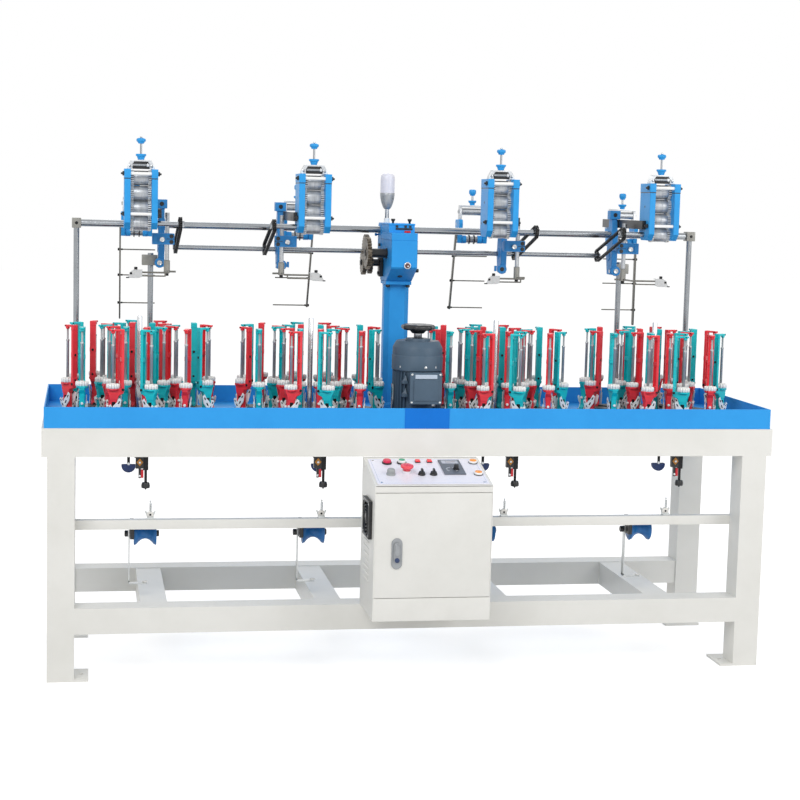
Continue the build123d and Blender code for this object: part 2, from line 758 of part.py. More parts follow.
# The output sleeve on the gearbox, its shaft end, and the swing bracket with the idler's axle.
box_side = -gearbox_width / 2
bracket_side = box_side - 14
shaft_end = gear_plane_a - 4
axle_end = gear_plane_a - 6
sleeve_end = gear_plane_a + gear_width + gap
boss_end = gear_plane_b + gear_width + gap
output_at = (output_y, output_z)
idler_at = (idler_y, idler_z)
with BuildPart() as gear_carrier:
    round_bar(Plane.YZ.offset(sleeve_end), output_at, 16, box_side - sleeve_end)
    round_bar(Plane.YZ.offset(shaft_end), output_at, output_bore, sleeve_end - shaft_end, 10)
    with BuildSketch(Plane.YZ.offset(bracket_side)):
        with Locations(idler_at):
            RegularPolygon(22, 12)
        with Locations((idler_y, idler_z - 26)):
            Rectangle(30, 44)
    extrude(amount=box_side - bracket_side)
    round_bar(Plane.YZ.offset(boss_end), idler_at, 13, bracket_side - boss_end)
    round_bar(Plane.YZ.offset(axle_end), idler_at, idler_bore, bracket_side - axle_end, 10)
gear_carrier.part.label = "gear_carrier"
export_step(gear_carrier.part, "parts/gear_carrier.step")

# Roller chains: a flat loop from each line-shaft sprocket up to the driven roller's sprocket.
def chain_outline(radius):
    """Corners of a flat loop round two circles of this radius, a chain's length apart."""
    corner = radius / cos(pi / chain_sides)
    points = []
    for end in (0, 1):
        for i in range(chain_sides // 2 + 1):
            a = pi * end + 2 * pi * i / chain_sides - pi / 2
            points.append(((0.5 - end) * chain_length + corner * cos(a), corner * sin(a)))
    return points


chain_in = sprocket_radius + chain_clear
chain_middle = Location(((shaft_y + head_y) / 2, (shaft_z + roller_bottom) / 2, 0), (0, 0, chain_tilt))
with BuildPart() as drive_chains:
    for x in sprocket_x:
        with BuildSketch(Plane.YZ.offset(x - chain_width / 2)):
            with Locations(chain_middle):
                Polygon(*chain_outline(chain_in + chain_thick), align=None)
                Polygon(*chain_outline(chain_in), align=None, mode=Mode.SUBTRACT)
        extrude(amount=chain_width)
drive_chains.part.label = "drive_chains"
export_step(drive_chains.part, "parts/drive_chains.step")

# ================================================================== column and gearbox
column_y = front + column_front
with BuildPart() as column:
    with BuildSketch(Plane.XY.offset(deck_top)):
        with Locations((0, column_y + column_depth / 2)):
            Rectangle(120, 112)
    extrude(amount=15)
    with BuildSketch(Plane.XY.offset(deck_top + 15)) as column_section:
        with Locations((0, column_y + column_depth / 2)):
            Rectangle(column_width, column_depth)
        chamfer(column_section.vertices(), 16)
    extrude(amount=gearbox_bottom - 12 - deck_top - 15)
    with BuildSketch(Plane.XY.offset(gearbox_bottom - 12)):
        with Locations((0, column_y + column_depth / 2 - 4)):
            Rectangle(gearbox_width, 110)
    extrude(amount=12)
column.part.label = "column"
export_step(column.part, "parts/column.step")

gb0 = front + gearbox_front
gb1 = front + gearbox_back
with BuildPart() as gearbox:
    with BuildSketch(Plane.YZ.offset(-gearbox_width / 2)):
        Polygon(
            (gb0, gearbox_bottom + 44), (gb0 + 100, gearbox_bottom), (gb1, gearbox_bottom),
            (gb1, gearbox_top), (gb0, gearbox_top), align=None,
        )
    extrude(amount=gearbox_width)
    with BuildSketch(Plane.XZ.offset(-gb0)):
        with Locations((11, gearbox_bottom + 58)):
            RegularPolygon(12, 10)
    extrude(amount=5)

# The head block behind the gearbox holds the cross tube and steadies the line shaft.
hb1 = front + head_block_back
with BuildPart() as head_block:
    with BuildSketch(Plane.YZ.offset(-46)):
        Polygon(
            (gb1, 1310), (hb1, 1330), (hb1, head_block_top - 14), (hb1 - 14, head_block_top),
            (gb1, head_block_top), align=None,
        )
        snug_hole((tube_y, tube_z), tube_radius, 12)
        turning_hole((shaft_y, shaft_z), shaft_radius, 12)
    extrude(amount=92)
    box_between(-46, 46, gb0 + 60, gb1, gearbox_top, head_block_top)
gearbox_all = Compound(label="gearbox", children=[gearbox.part, head_block.part])
export_step(gearbox_all, "parts/gearbox.step")

# Signal lamp on the head block: stem, flared base and domed lens.
lamp_x = -30.0
lamp_y = gb1 - 20
with BuildPart() as signal_lamp:
    round_bar(Plane.XY.offset(head_block_top), (lamp_x, lamp_y), 9, 6, 10)
    round_bar(Plane.XY.offset(head_block_top + 6), (lamp_x, lamp_y), 5, 1508 - head_block_top - 6)
    turned(Plane.XY, (lamp_x, lamp_y), ((1508, 11), (1545, 24), (1566, 25)), 10)
with BuildPart() as lamp_lens:
    turned(Plane.XY, (lamp_x, lamp_y), ((1566, 24), (1622, 24), (1631, 19), (1636, 8)), 10)
lamp_all = Compound(label="signal_lamp", children=[signal_lamp.part, lamp_lens.part])
export_step(lamp_all, "parts/signal_lamp.step")

# ================================================================== motor
motor_y = front + motor_depth
fin_points = []
fins = 20
for i in range(2 * fins):
    a = pi * i / fins
    r = motor_radius if i % 2 else motor_radius - 9
    fin_points.append((r * cos(a), r * sin(a)))
with BuildPart() as motor_body:
    with BuildSketch(Plane.XY.offset(deck_top)):
        with Locations((motor_x, motor_y)):
            RegularPolygon(motor_radius + 3, 16)
    extrude(amount=14)
    with BuildSketch(Plane.XY.offset(deck_top + 14)):
        with Locations((motor_x, motor_y)):
            Polygon(*fin_points, align=None)
    extrude(amount=989 - deck_top - 14)
cowl_rings = ((989, 84), (1062, 84), (1084, 70), (motor_top, 42))
with BuildPart() as motor_cowl:
    turned(Plane.XY, (motor_x, motor_y), cowl_rings, 16)
term_x = 17.0
term_front = motor_y - motor_radius - 38
with BuildPart() as terminal_box:
    with BuildSketch(Plane.XZ.offset(-term_front)):
        with Locations((term_x, 937)):
            Rectangle(106, 104)
    extrude(amount=-60)
    chamfer(terminal_box.faces().sort_by(Axis.Y)[0].edges(), 5)
    # its back is hollowed to sit round the fins
    with BuildSketch(Plane.XY.offset(880)):
        with Locations((motor_x, motor_y)):
            RegularPolygon(motor_radius + 0.2, 20, major_radius=False)
    extrude(amount=120, mode=Mode.SUBTRACT)
motor = Compound(label="motor", children=[motor_body.part, motor_cowl.part, terminal_box.part])
export_step(motor, "parts/motor.step")

# The lobed handwheel on the motor shaft.
lobes = []
for i in range(18):
    a = 2 * pi * i / 18
    r = wheel_radius + (0 if i % 3 else -5)
    lobes.append((r * cos(a), r * sin(a)))
with BuildPart() as handwheel:
    with BuildSketch(Plane.XY.offset(motor_top + gap)):
        with Locations((motor_x, motor_y)):
            RegularPolygon(14, 8)
    extrude(amount=20)
    with BuildSketch(Plane.XY.offset(motor_top + 18)):
        with Locations((motor_x, motor_y)):
            RegularPolygon(24, 10)
    extrude(amount=8)
    with BuildSketch(Plane.XY.offset(motor_top + 24)):
        with Locations((motor_x, motor_y)):
            Polygon(*lobes, align=None)
    extrude(amount=22)
handwheel.part.label = "handwheel"
export_step(handwheel.part, "parts/handwheel.step")

# ================================================================== cabinet
cab_x = cabinet_width / 2
cy = front
desk_slope = (desk_back_z - desk_front_z) / (desk_back - cabinet_front)
door_recess = cabinet_front + door_thick + 0.4
with BuildPart() as cabinet_body:
    with BuildSketch(Plane.YZ.offset(-cab_x)):
        Polygon(
            (cy + cabinet_front, cabinet_bottom), (cy + cabinet_front, door_bottom - 1.5),
            (cy + door_recess, door_bottom - 1.5), (cy + door_recess, door_top + 1.5),
            (cy + cabinet_front, door_top + 1.5), (cy + cabinet_front, desk_front_z),
            (cy + desk_back, desk_back_z), (cy + cabinet_back, desk_back_z),
            (cy + cabinet_back, cabinet_bottom), align=None,
        )
    extrude(amount=cabinet_width)
    wall = cabinet_wall
    with BuildSketch(Plane.YZ.offset(-cab_x + wall)):
        Polygon(
            (cy + door_recess - 1, door_bottom + 10), (cy + door_recess + 4, door_bottom + 10),
            (cy + door_recess + 4, cabinet_bottom + wall), (cy + cabinet_back - wall, cabinet_bottom + wall),
            (cy + cabinet_back - wall, desk_back_z - 8),
            (cy + door_recess + 4, desk_front_z - 6 + desk_slope * (door_recess + 4 - cabinet_front)),
            (cy + door_recess + 4, door_top - 10), (cy + door_recess - 1, door_top - 10), align=None,
        )
    extrude(amount=cabinet_width - 2 * wall, mode=Mode.SUBTRACT)
    # round hole for the fan in the left side
    with BuildSketch(Plane.YZ.offset(-cab_x - 1)):
        with Locations((cy + fan_depth_pos, fan_z)):
            RegularPolygon(56, 16)
    extrude(amount=wall + 2, mode=Mode.SUBTRACT)
    # pressed louvres below the fan, three-cornered in section, on both sides
    for k in range(7):
        z = 340 + 20 * k
        with BuildSketch(Plane.XZ.offset(-(cy - 150))):
            Polygon((-cab_x, z), (-cab_x - 4, z), (-cab_x, z + 9), align=None)
            Polygon((cab_x, z), (cab_x, z + 9), (cab_x + 4, z), align=None)
        extrude(amount=-100)
cabinet_body.part.label = "cabinet_body"
export_step(cabinet_body.part, "parts/cabinet_body.step")

# The door fills the recess, hinged at its right edge.
door_x = cab_x - door_side
with BuildPart() as cabinet_door:
    y0 = cy + cabinet_front
    box_between(-door_x, door_x, y0, y0 + door_thick, door_bottom, door_top)
# Swing lock: a long rounded base plate and the lever that folds out of it.
lock_x = -115.0
lock_y = cy + cabinet_front
with BuildPart() as lock_plate:
    with BuildSketch(Plane.XZ.offset(-lock_y)):
        with Locations((lock_x, 451)):
            Rectangle(34, 98)
    extrude(amount=4)
    chamfer(lock_plate.edges().filter_by(Axis.Y), 10)
door_all = Compound(label="cabinet_door", children=[cabinet_door.part, lock_plate.part])
export_step(door_all, "parts/cabinet_door.step")

with BuildPart() as lock_lever:
    with BuildSketch(Plane.XZ.offset(-lock_y + 4 + gap)):
        with Locations((lock_x, 454)):
            Rectangle(22, 66)
    extrude(amount=lock_depth - 4 - gap)
    chamfer(lock_lever.edges().filter_by(Axis.Y), 7)
lock_lever.part.label = "lock_lever"
export_step(lock_lever.part, "parts/lock_lever.step")

# Sloping control panel and its controls.
slope_deg = degrees(atan2(desk_back_z - desk_front_z, desk_back - cabinet_front))
desk = Plane(
    origin=(0, cy + cabinet_front, desk_front_z), x_dir=(1, 0, 0),
    z_dir=(0, -sin(radians(slope_deg)), cos(radians(slope_deg))),
)
desk_length = hypot(desk_back_z - desk_front_z, desk_back - cabinet_front)
with BuildPart() as control_panel:
    with BuildSketch(desk):
        with Locations((0, desk_length / 2)):
            Rectangle(356, 214)
    extrude(amount=panel_thick)
control_panel.part.label = "control_panel"
export_step(control_panel.part, "parts/control_panel.step")

face = desk.offset(panel_thick)
with BuildPart() as speed_unit:
    with BuildSketch(face):
        with Locations((82, 143)):
            Rectangle(70, 122)
    extrude(amount=5)
bezel_height = 5.0
button_radius = 12.0
button_travel = 3.0
estop_neck = 11.0
estop_travel = 4.0
# Bezels of the push buttons, selectors, buzzer and pilot lamps.
lamp_spots = ((160, 186), (157, 88))
button_spots = {"stop": (-121, 184), "start": (-73, 184), "estop": (-71, 104)}
select_spots = ((-26, 86), (12, 86))
buzzer_spot = (-124, 88)
square_spots = ((-20, 193), (18, 193))
with BuildPart() as bezels:
    with BuildSketch(face):
        with Locations(button_spots["stop"], button_spots["start"]):
            RegularPolygon(15, 10)
            RegularPolygon(button_radius + gap, 10, mode=Mode.SUBTRACT)
        with Locations(buzzer_spot, *lamp_spots):
            RegularPolygon(15, 10)
        with Locations(*select_spots):
            RegularPolygon(12, 10)
    extrude(amount=bezel_height)
    with BuildSketch(face):
        with Locations(button_spots["estop"]):
            RegularPolygon(15, 10)
            RegularPolygon(estop_neck + gap, 10, mode=Mode.SUBTRACT)
    extrude(amount=bezel_height + 3)
top = face.offset(bezel_height)
with BuildPart() as pilot_lamps:
    with BuildSketch(top):
        with Locations(*lamp_spots):
            RegularPolygon(12, 10)
    extrude(amount=6)
    with BuildSketch(top):
        with Locations(buzzer_spot):
            RegularPolygon(13, 10)
    extrude(amount=15)
    with BuildSketch(face):
        with Locations(*square_spots):
            Rectangle(17, 17)
    extrude(amount=8)
panel_fittings = Compound(
    label="panel_fittings", children=[speed_unit.part, bezels.part, pilot_lamps.part]
)
export_step(panel_fittings, "parts/panel_fittings.step")


def panel_piece(name, plane, spot, radius, sides, height):
    """One push button or round knob on the desk."""
    with BuildPart() as piece:
        with BuildSketch(plane):
            with Locations(spot):
                RegularPolygon(radius, sides)
        extrude(amount=height)
    piece.part.label = name
    export_step(piece.part, "parts/" + name + ".step")


# Push buttons slide in their bezels and stop just off the panel.
sunk = face.offset(button_travel + gap)
panel_piece("stop_button", sunk, button_spots["stop"], button_radius, 10, bezel_height + 2)
panel_piece("start_button", sunk, button_spots["start"], button_radius, 10, bezel_height + 2)

cap_low = bezel_height + 3 + estop_travel + gap + 2
with BuildPart() as emergency_stop:
    with BuildSketch(face.offset(estop_travel + gap)):
        with Locations(button_spots["estop"]):
            RegularPolygon(estop_neck, 10)
    extrude(amount=cap_low - estop_travel - gap)
    with BuildSketch(face.offset(cap_low)):
        with Locations(button_spots["estop"]):
            RegularPolygon(20, 12)
    extrude(amount=12)
    chamfer(emergency_stop.faces().sort_by(Axis((0, 0, 0), desk.z_dir))[-1].edges(), 5)
emergency_stop.part.label = "emergency_stop"
export_step(emergency_stop.part, "parts/emergency_stop.step")

# Two-position selectors: a round shank with a raised grip bar across it.
for name, spot in (("selector_left", select_spots[0]), ("selector_right", select_spots[1])):
    with BuildPart() as selector:
        with BuildSketch(top.offset(gap)):
            with Locations(spot):
                RegularPolygon(10, 10)
        extrude(amount=5)
        with BuildSketch(top.offset(gap + 5)):
            with Locations(spot):
                Rectangle(7, 19)
        extrude(amount=10)
    selector.part.label = name
    export_step(selector.part, "parts/" + name + ".step")

# Speed knob on the grey speed unit, with a pointer nib on its skirt.
speed_spot = (91, 120)
with BuildPart() as speed_knob:
    with BuildSketch(face.offset(5 + gap)):
        with Locations(speed_spot):
            RegularPolygon(15, 10)
        with Locations((speed_spot[0], speed_spot[1] + 16)):
            Rectangle(3, 8)
    extrude(amount=4)
    with BuildSketch(face.offset(9 + gap)):
        with Locations(speed_spot):
            RegularPolygon(11, 10)
    extrude(amount=12)
speed_knob.part.label = "speed_knob"
export_step(speed_knob.part, "parts/speed_knob.step")

# Fan: square guard with a ring of slots outside, rotor behind it.
fan_y = cy + fan_depth_pos
with BuildPart() as fan_guard:
    with BuildSketch(Plane.YZ.offset(-cab_x - 12)):
        with Locations((fan_y, fan_z)):
            Rectangle(fan_size, fan_size)
            RegularPolygon(52, 16, mode=Mode.SUBTRACT)
            Rectangle(7, 110)
            Rectangle(110, 7)
            RegularPolygon(17, 8)
    extrude(amount=12)
fan_guard.part.label = "fan_guard"
export_step(fan_guard.part, "parts/fan_guard.step")

with BuildPart() as fan_rotor:
    with BuildSketch(Plane.YZ.offset(-cab_x + gap)):
        with Locations((fan_y, fan_z)):
            RegularPolygon(18, 10)
    extrude(amount=22)
    with BuildSketch(Plane.YZ.offset(-cab_x + 6)):
        with Locations((fan_y, fan_z)):
            with PolarLocations(31, 7):
                Rectangle(34, 15)
    extrude(amount=12)
fan_rotor.part.label = "fan_rotor"
export_step(fan_rotor.part, "parts/fan_rotor.step")

# ================================================================== under the table
# Tension brackets below the front beam, one for each head.
with BuildPart() as tension_brackets:
    for hx, s in heads:
        y0 = front + 55
        box_between(hx - 25, hx + 20, y0, y0 + 30, table_z - beam_height - 47, table_z - beam_height)
        box_between(hx - 9, hx - 1, y0 + 12, y0 + 18, 640, table_z - beam_height - 47)
        round_bar(Plane.XY.offset(616), (hx + 14, y0 + 15), 3, table_z - beam_height - 47 - 616, 4)
        round_bar(Plane.XY.offset(604), (hx + 14, y0 + 15), 9, 12, 6)

# Half-round navy wheels hung from the deck near each head.
with BuildPart() as drop_wheels:
    for hx, s in heads:
        x = hx - s * 33
        box_between(x - 5, x + 5, head_y - 7, head_y + 7, 640, deck_z)
        with BuildSketch(Plane.XZ.offset(-(head_y + 8))):
            with Locations((x, 640)):
                RegularPolygon(24, 12)
        extrude(amount=16)
tensioners = Compound(label="tensioners", children=[tension_brackets.part, drop_wheels.part])
export_step(tensioners, "parts/tensioners.step")

# Waisted guide pulleys behind the yarn bar, each on an axle held by a forked bracket.
pulley_spots = (-873.0, -324.0, 253.0, 800.0)
pulley_y = front + 165
pulley_z = 444.0
pulley_half = 36.0
pulley_rings = (
    (-pulley_half, 39), (-pulley_half + 5, 39), (-16, 20), (-6, 15),
    (6, 15), (16, 20), (pulley_half - 5, 39), (pulley_half, 39),
)
axle_radius = 8.0
for k, x in enumerate(pulley_spots):
    with BuildPart() as pulley:
        turned(Plane.YZ.offset(x), (pulley_y, pulley_z), pulley_rings, 10)
        with BuildSketch(Plane.YZ.offset(x - pulley_half)):
            with Locations((pulley_y, pulley_z)):
                RegularPolygon(axle_radius + fit, 8, major_radius=False, rotation=180 / 8)
        extrude(amount=2 * pulley_half, mode=Mode.SUBTRACT)
    name = "guide_pulley_" + str(k + 1)
    pulley.part.label = name
    export_step(pulley.part, "parts/" + name + ".step")

# Each pulley's bracket: black block behind the yarn bar, axle, end nut, and the flat hanger strip
# whose foot turns under the pulley and ends in a thread eye.
strip_thick = 5.0
block_width = 13.0
bar_back = bar_y + yarn_bar_depth
with BuildPart() as pulley_blocks:
    for x in pulley_spots:
        x1 = x - pulley_half - gap
        x0 = x1 - block_width
        box_between(x0, x1, bar_back, pulley_y + 13, pulley_z - 12, yarn_bar_z + 22)
        round_bar(Plane.YZ.offset(x1), (pulley_y, pulley_z), axle_radius, 2 * pulley_half + 2 * gap)
        round_bar(Plane.YZ.offset(x + pulley_half + gap), (pulley_y, pulley_z), 11, 9)
        round_bar(Plane.YZ.offset(x0 - strip_thick - 12), (pulley_y, pulley_z), 11, 12)
with BuildPart() as hanger_strips:
    for x in pulley_spots:
        x1 = x - pulley_half - gap - block_width
        x0 = x1 - strip_thick
        box_between(x0, x1, pulley_y - 13, pulley_y + 12, 283, yarn_bar_z + 22)
        box_between(x0, x + 14, pulley_y - 13, pulley_y + 12, 278, 283)
        with BuildSketch(Plane.XY.offset(283)) as eye:
            with Locations((x + 2, pulley_y)):
                RegularPolygon(10, 8)
                RegularPolygon(6, 6, mode=Mode.SUBTRACT)
        extrude(eye.sketch, amount=6)
pulley_brackets = Compound(label="pulley_brackets", children=[pulley_blocks.part, hanger_strips.part])
export_step(pulley_brackets, "parts/pulley_brackets.step")
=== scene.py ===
import math

import bmesh
import bpy
from mathutils import Matrix, Vector


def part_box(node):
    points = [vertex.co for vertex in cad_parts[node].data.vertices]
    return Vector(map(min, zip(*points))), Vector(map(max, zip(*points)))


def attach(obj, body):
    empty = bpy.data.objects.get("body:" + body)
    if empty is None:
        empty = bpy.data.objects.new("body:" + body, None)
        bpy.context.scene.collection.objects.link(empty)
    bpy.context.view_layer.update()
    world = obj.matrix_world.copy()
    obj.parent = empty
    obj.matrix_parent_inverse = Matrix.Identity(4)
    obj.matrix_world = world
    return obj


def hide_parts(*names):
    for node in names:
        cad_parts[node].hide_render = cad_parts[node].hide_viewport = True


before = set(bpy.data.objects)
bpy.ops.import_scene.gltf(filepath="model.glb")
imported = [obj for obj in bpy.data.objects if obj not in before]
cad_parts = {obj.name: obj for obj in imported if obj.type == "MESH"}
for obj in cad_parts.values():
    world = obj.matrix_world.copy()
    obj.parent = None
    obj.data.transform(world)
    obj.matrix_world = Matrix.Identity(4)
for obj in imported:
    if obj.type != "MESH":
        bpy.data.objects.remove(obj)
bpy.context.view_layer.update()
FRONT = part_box("top_frame")[0].y          # y of the table's front face
HEADS = ((-0.890, 1), (-0.320, -1), (0.320, 1), (0.890, -1))   # x of each head, side of its drive
HEAD_Y = FRONT + 0.345


# ---------------------------------------------------------------- camera
# A person's eye level, about five metres in front and left of the middle.
def look(yaw, pitch, roll):
    ahead = Vector((math.sin(yaw) * math.cos(pitch), math.cos(yaw) * math.cos(pitch), -math.sin(pitch)))
    right = Vector((math.cos(yaw), -math.sin(yaw), 0))
    over = right.cross(ahead)
    right, over = (right * math.cos(roll) + over * math.sin(roll),
                   over * math.cos(roll) - right * math.sin(roll))
    return Matrix((right, over, -ahead)).transposed()


camera = bpy.data.objects.new("camera", bpy.data.cameras.new("camera"))
FOCAL_PX, FRAME_PX, SENSOR_MM = 1722.05, 800, 36
camera.data.lens = SENSOR_MM * FOCAL_PX / FRAME_PX
camera.data.clip_end = 60
eye = Matrix.Translation((-1.0736, FRONT - 5.4013, 1.5239))
camera.matrix_world = eye @ look(yaw=0.1833, pitch=0.1126, roll=0.0253).to_4x4()
bpy.context.scene.collection.objects.link(camera)
bpy.context.scene.camera = camera
bpy.context.scene.view_settings.view_transform = "Standard"


# ---------------------------------------------------------------- studio
# A pale seamless floor and a plain pale room, lit by two large soft lamps and one behind.
def add_node(tree, kind, values=None, links=None, **settings):
    """One node: its settings, the values of its inputs, and what is linked into them."""
    made = tree.nodes.new(kind)
    for key, value in settings.items():
        setattr(made, key, value)
    for key, value in (values or {}).items():
        made.inputs[key].default_value = value
    for key, source in (links or {}).items():
        tree.links.new(source, made.inputs[key])
    return made


def linear(hex_colour, alpha=1.0):
    """An sRGB hex colour as linear values."""
    out = []
    for i in (1, 3, 5):
        c = int(hex_colour[i:i + 2], 16) / 255
        out.append(c / 12.92 if c <= 0.04045 else ((c + 0.055) / 1.055) ** 2.4)
    return (*out, alpha)


def new_material(name):
    made = bpy.data.materials.new(name)
    made.use_nodes = True
    made.node_tree.nodes.clear()
    return made, made.node_tree


def seen_directly(tree):
    """1 where the camera, a mirror or glass looks, 0 where light bounces."""
    path = add_node(tree, "ShaderNodeLightPath")
    glossy = add_node(tree, "ShaderNodeMath", operation="ADD",
                      links={0: path.outputs["Is Camera Ray"], 1: path.outputs["Is Glossy Ray"]})
    return add_node(tree, "ShaderNodeMath", operation="ADD", use_clamp=True,
                    links={0: glossy.outputs[0], 1: path.outputs["Is Transmission Ray"]}).outputs[0]


# Matt painted studio floor: it takes the soft shadow, and otherwise shows near white.
floor_paint, tree = new_material("matt_studio_floor")
matt = add_node(tree, "ShaderNodeBsdfDiffuse", {"Color": linear("#D9D9D9")})
lift = add_node(tree, "ShaderNodeEmission", {"Color": linear("#FFFFFF"), "Strength": 0.62})
both = add_node(tree, "ShaderNodeAddShader", links={0: matt.outputs[0], 1: lift.outputs[0]})
part = add_node(tree, "ShaderNodeMixShader",
                links={0: seen_directly(tree), 1: matt.outputs[0], 2: both.outputs[0]})
add_node(tree, "ShaderNodeOutputMaterial", links={"Surface": part.outputs[0]})

floor_mesh = bpy.data.meshes.new("floor")
HALF_FLOOR = 30
floor_mesh.from_pydata([(HALF_FLOOR * u, HALF_FLOOR * v, 0) for u, v in ((-1, -1), (1, -1), (1, 1), (-1, 1))],
                       [], [(0, 1, 2, 3)])
floor_mesh.materials.append(floor_paint)
floor = bpy.data.objects.new("floor", floor_mesh)
bpy.context.scene.collection.objects.link(floor)

world = bpy.data.worlds.new("pale_room")
world.use_nodes = True
tree = world.node_tree
tree.nodes.clear()
room = add_node(tree, "ShaderNodeBackground", {"Color": linear("#FFFFFF"), "Strength": 0.60})
wall = add_node(tree, "ShaderNodeBackground", {"Color": linear("#FFFFFF"), "Strength": 1.0})
both = add_node(tree, "ShaderNodeMixShader",
                links={0: seen_directly(tree), 1: room.outputs[0], 2: wall.outputs[0]})
add_node(tree, "ShaderNodeOutputWorld", links={"Surface": both.outputs[0]})
bpy.context.scene.world = world

LAMP_SIZE = 3.0
for lamp, place, power in (("key_lamp", (-2.6, -4.4, 4.2), 132), ("fill_lamp", (3.6, -4.0, 3.0), 84),
                           ("back_lamp", (0.5, 3.8, 4.0), 56)):
    light = bpy.data.lights.new(lamp, "AREA")
    light.size = LAMP_SIZE
    light.energy = power
    lamp_object = bpy.data.objects.new(lamp, light)
    lamp_object.location = place
    lamp_object.rotation_euler = (Vector((0, 0, 0.9)) - Vector(place)).to_track_quat("-Z", "Y").to_euler()
    bpy.context.scene.collection.objects.link(lamp_object)


# ---------------------------------------------------------------- frame
# Box-section legs, beams and rails, welded and sprayed in ivory enamel, on drilled foot plates.
# The enamel is a satin film with a faint orange peel and a little grime in the colour.
def surface(name, colour, worn, rough, metal=0.0, grain=3.0, patch=90.0, peel=0.15, along=(1, 1, 1), coat=0.0,
            patch_share=0.5, rough_swing=0.08, gloss=0.5):
    """A finish from its colour, a second colour in soft patches, and a grain: sizes in millimetres."""
    made, tree = new_material(name)
    place = add_node(tree, "ShaderNodeTexCoord")
    turned = add_node(tree, "ShaderNodeMapping", {"Scale": along}, {"Vector": place.outputs["Object"]})
    fine = add_node(tree, "ShaderNodeTexNoise", {"Scale": 1000 / grain, "Detail": 3.0, "Roughness": 0.6},
                    {"Vector": turned.outputs[0]})
    wide = add_node(tree, "ShaderNodeTexNoise", {"Scale": 1000 / patch, "Detail": 4.0, "Roughness": 0.65},
                    {"Vector": turned.outputs[0]})
    share = add_node(tree, "ShaderNodeMapRange",
                     {"From Min": 0.42, "From Max": 0.72, "To Min": 0.0, "To Max": patch_share},
                     {"Value": wide.outputs["Fac"]})
    tint = tree.nodes.new("ShaderNodeMix")
    tint.data_type = "RGBA"
    tint.inputs[6].default_value = linear(colour)
    tint.inputs[7].default_value = linear(worn)
    tree.links.new(share.outputs[0], tint.inputs[0])
    dull = add_node(tree, "ShaderNodeMapRange",
                    {"From Min": 0.3, "From Max": 0.7, "To Min": max(rough - rough_swing, 0.03),
                     "To Max": rough + rough_swing}, {"Value": fine.outputs["Fac"]})
    ripple = add_node(tree, "ShaderNodeBump", {"Strength": peel, "Distance": 0.0004},
                      {"Height": fine.outputs["Fac"]})
    shader = add_node(tree, "ShaderNodeBsdfPrincipled",
                      {"Metallic": metal, "Coat Weight": coat, "Coat Roughness": 0.12,
                       "Specular IOR Level": gloss},
                      {"Base Color": tint.outputs[2], "Roughness": dull.outputs[0],
                       "Normal": ripple.outputs[0]})
    add_node(tree, "ShaderNodeOutputMaterial", links={"Surface": shader.outputs[0]})
    return made


def dress(node, material):
    """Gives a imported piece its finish."""
    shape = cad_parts[node]
    shape.data.materials.clear()
    shape.data.materials.append(material)


ivory_enamel = surface("ivory_enamel", "#E7E6E1", "#DAD9D2", 0.42, grain=5, patch=260, peel=0.06)
for node in ("top_frame", "legs", "lower_frame"):
    dress(node, ivory_enamel)


# ---------------------------------------------------------------- spool carriers
# Moulded nylon carriers in two colours, one for each direction round the track: a flared foot,
# a shelf with a toothed white crown, an upright blade and an arm that holds the steel spindle's top.
# The nylon is an even satin moulding; red and teal both keep a soft sheen along their round edges.
def ring(centre, axis, radius, sides):
    """Points round an axis, in metres."""
    axis = Vector(axis).normalized()
    across = axis.orthogonal().normalized()
    other = axis.cross(across)
    steps = [2 * math.pi * i / sides for i in range(sides)]
    return [Vector(centre) + (across * math.cos(a) + other * math.sin(a)) * radius for a in steps]


RIGHT, LEFT, UP, DOWN, FORTH = (1, 0, 0), (-1, 0, 0), (0, 0, 1), (0, 0, -1), (0, -1, 0)


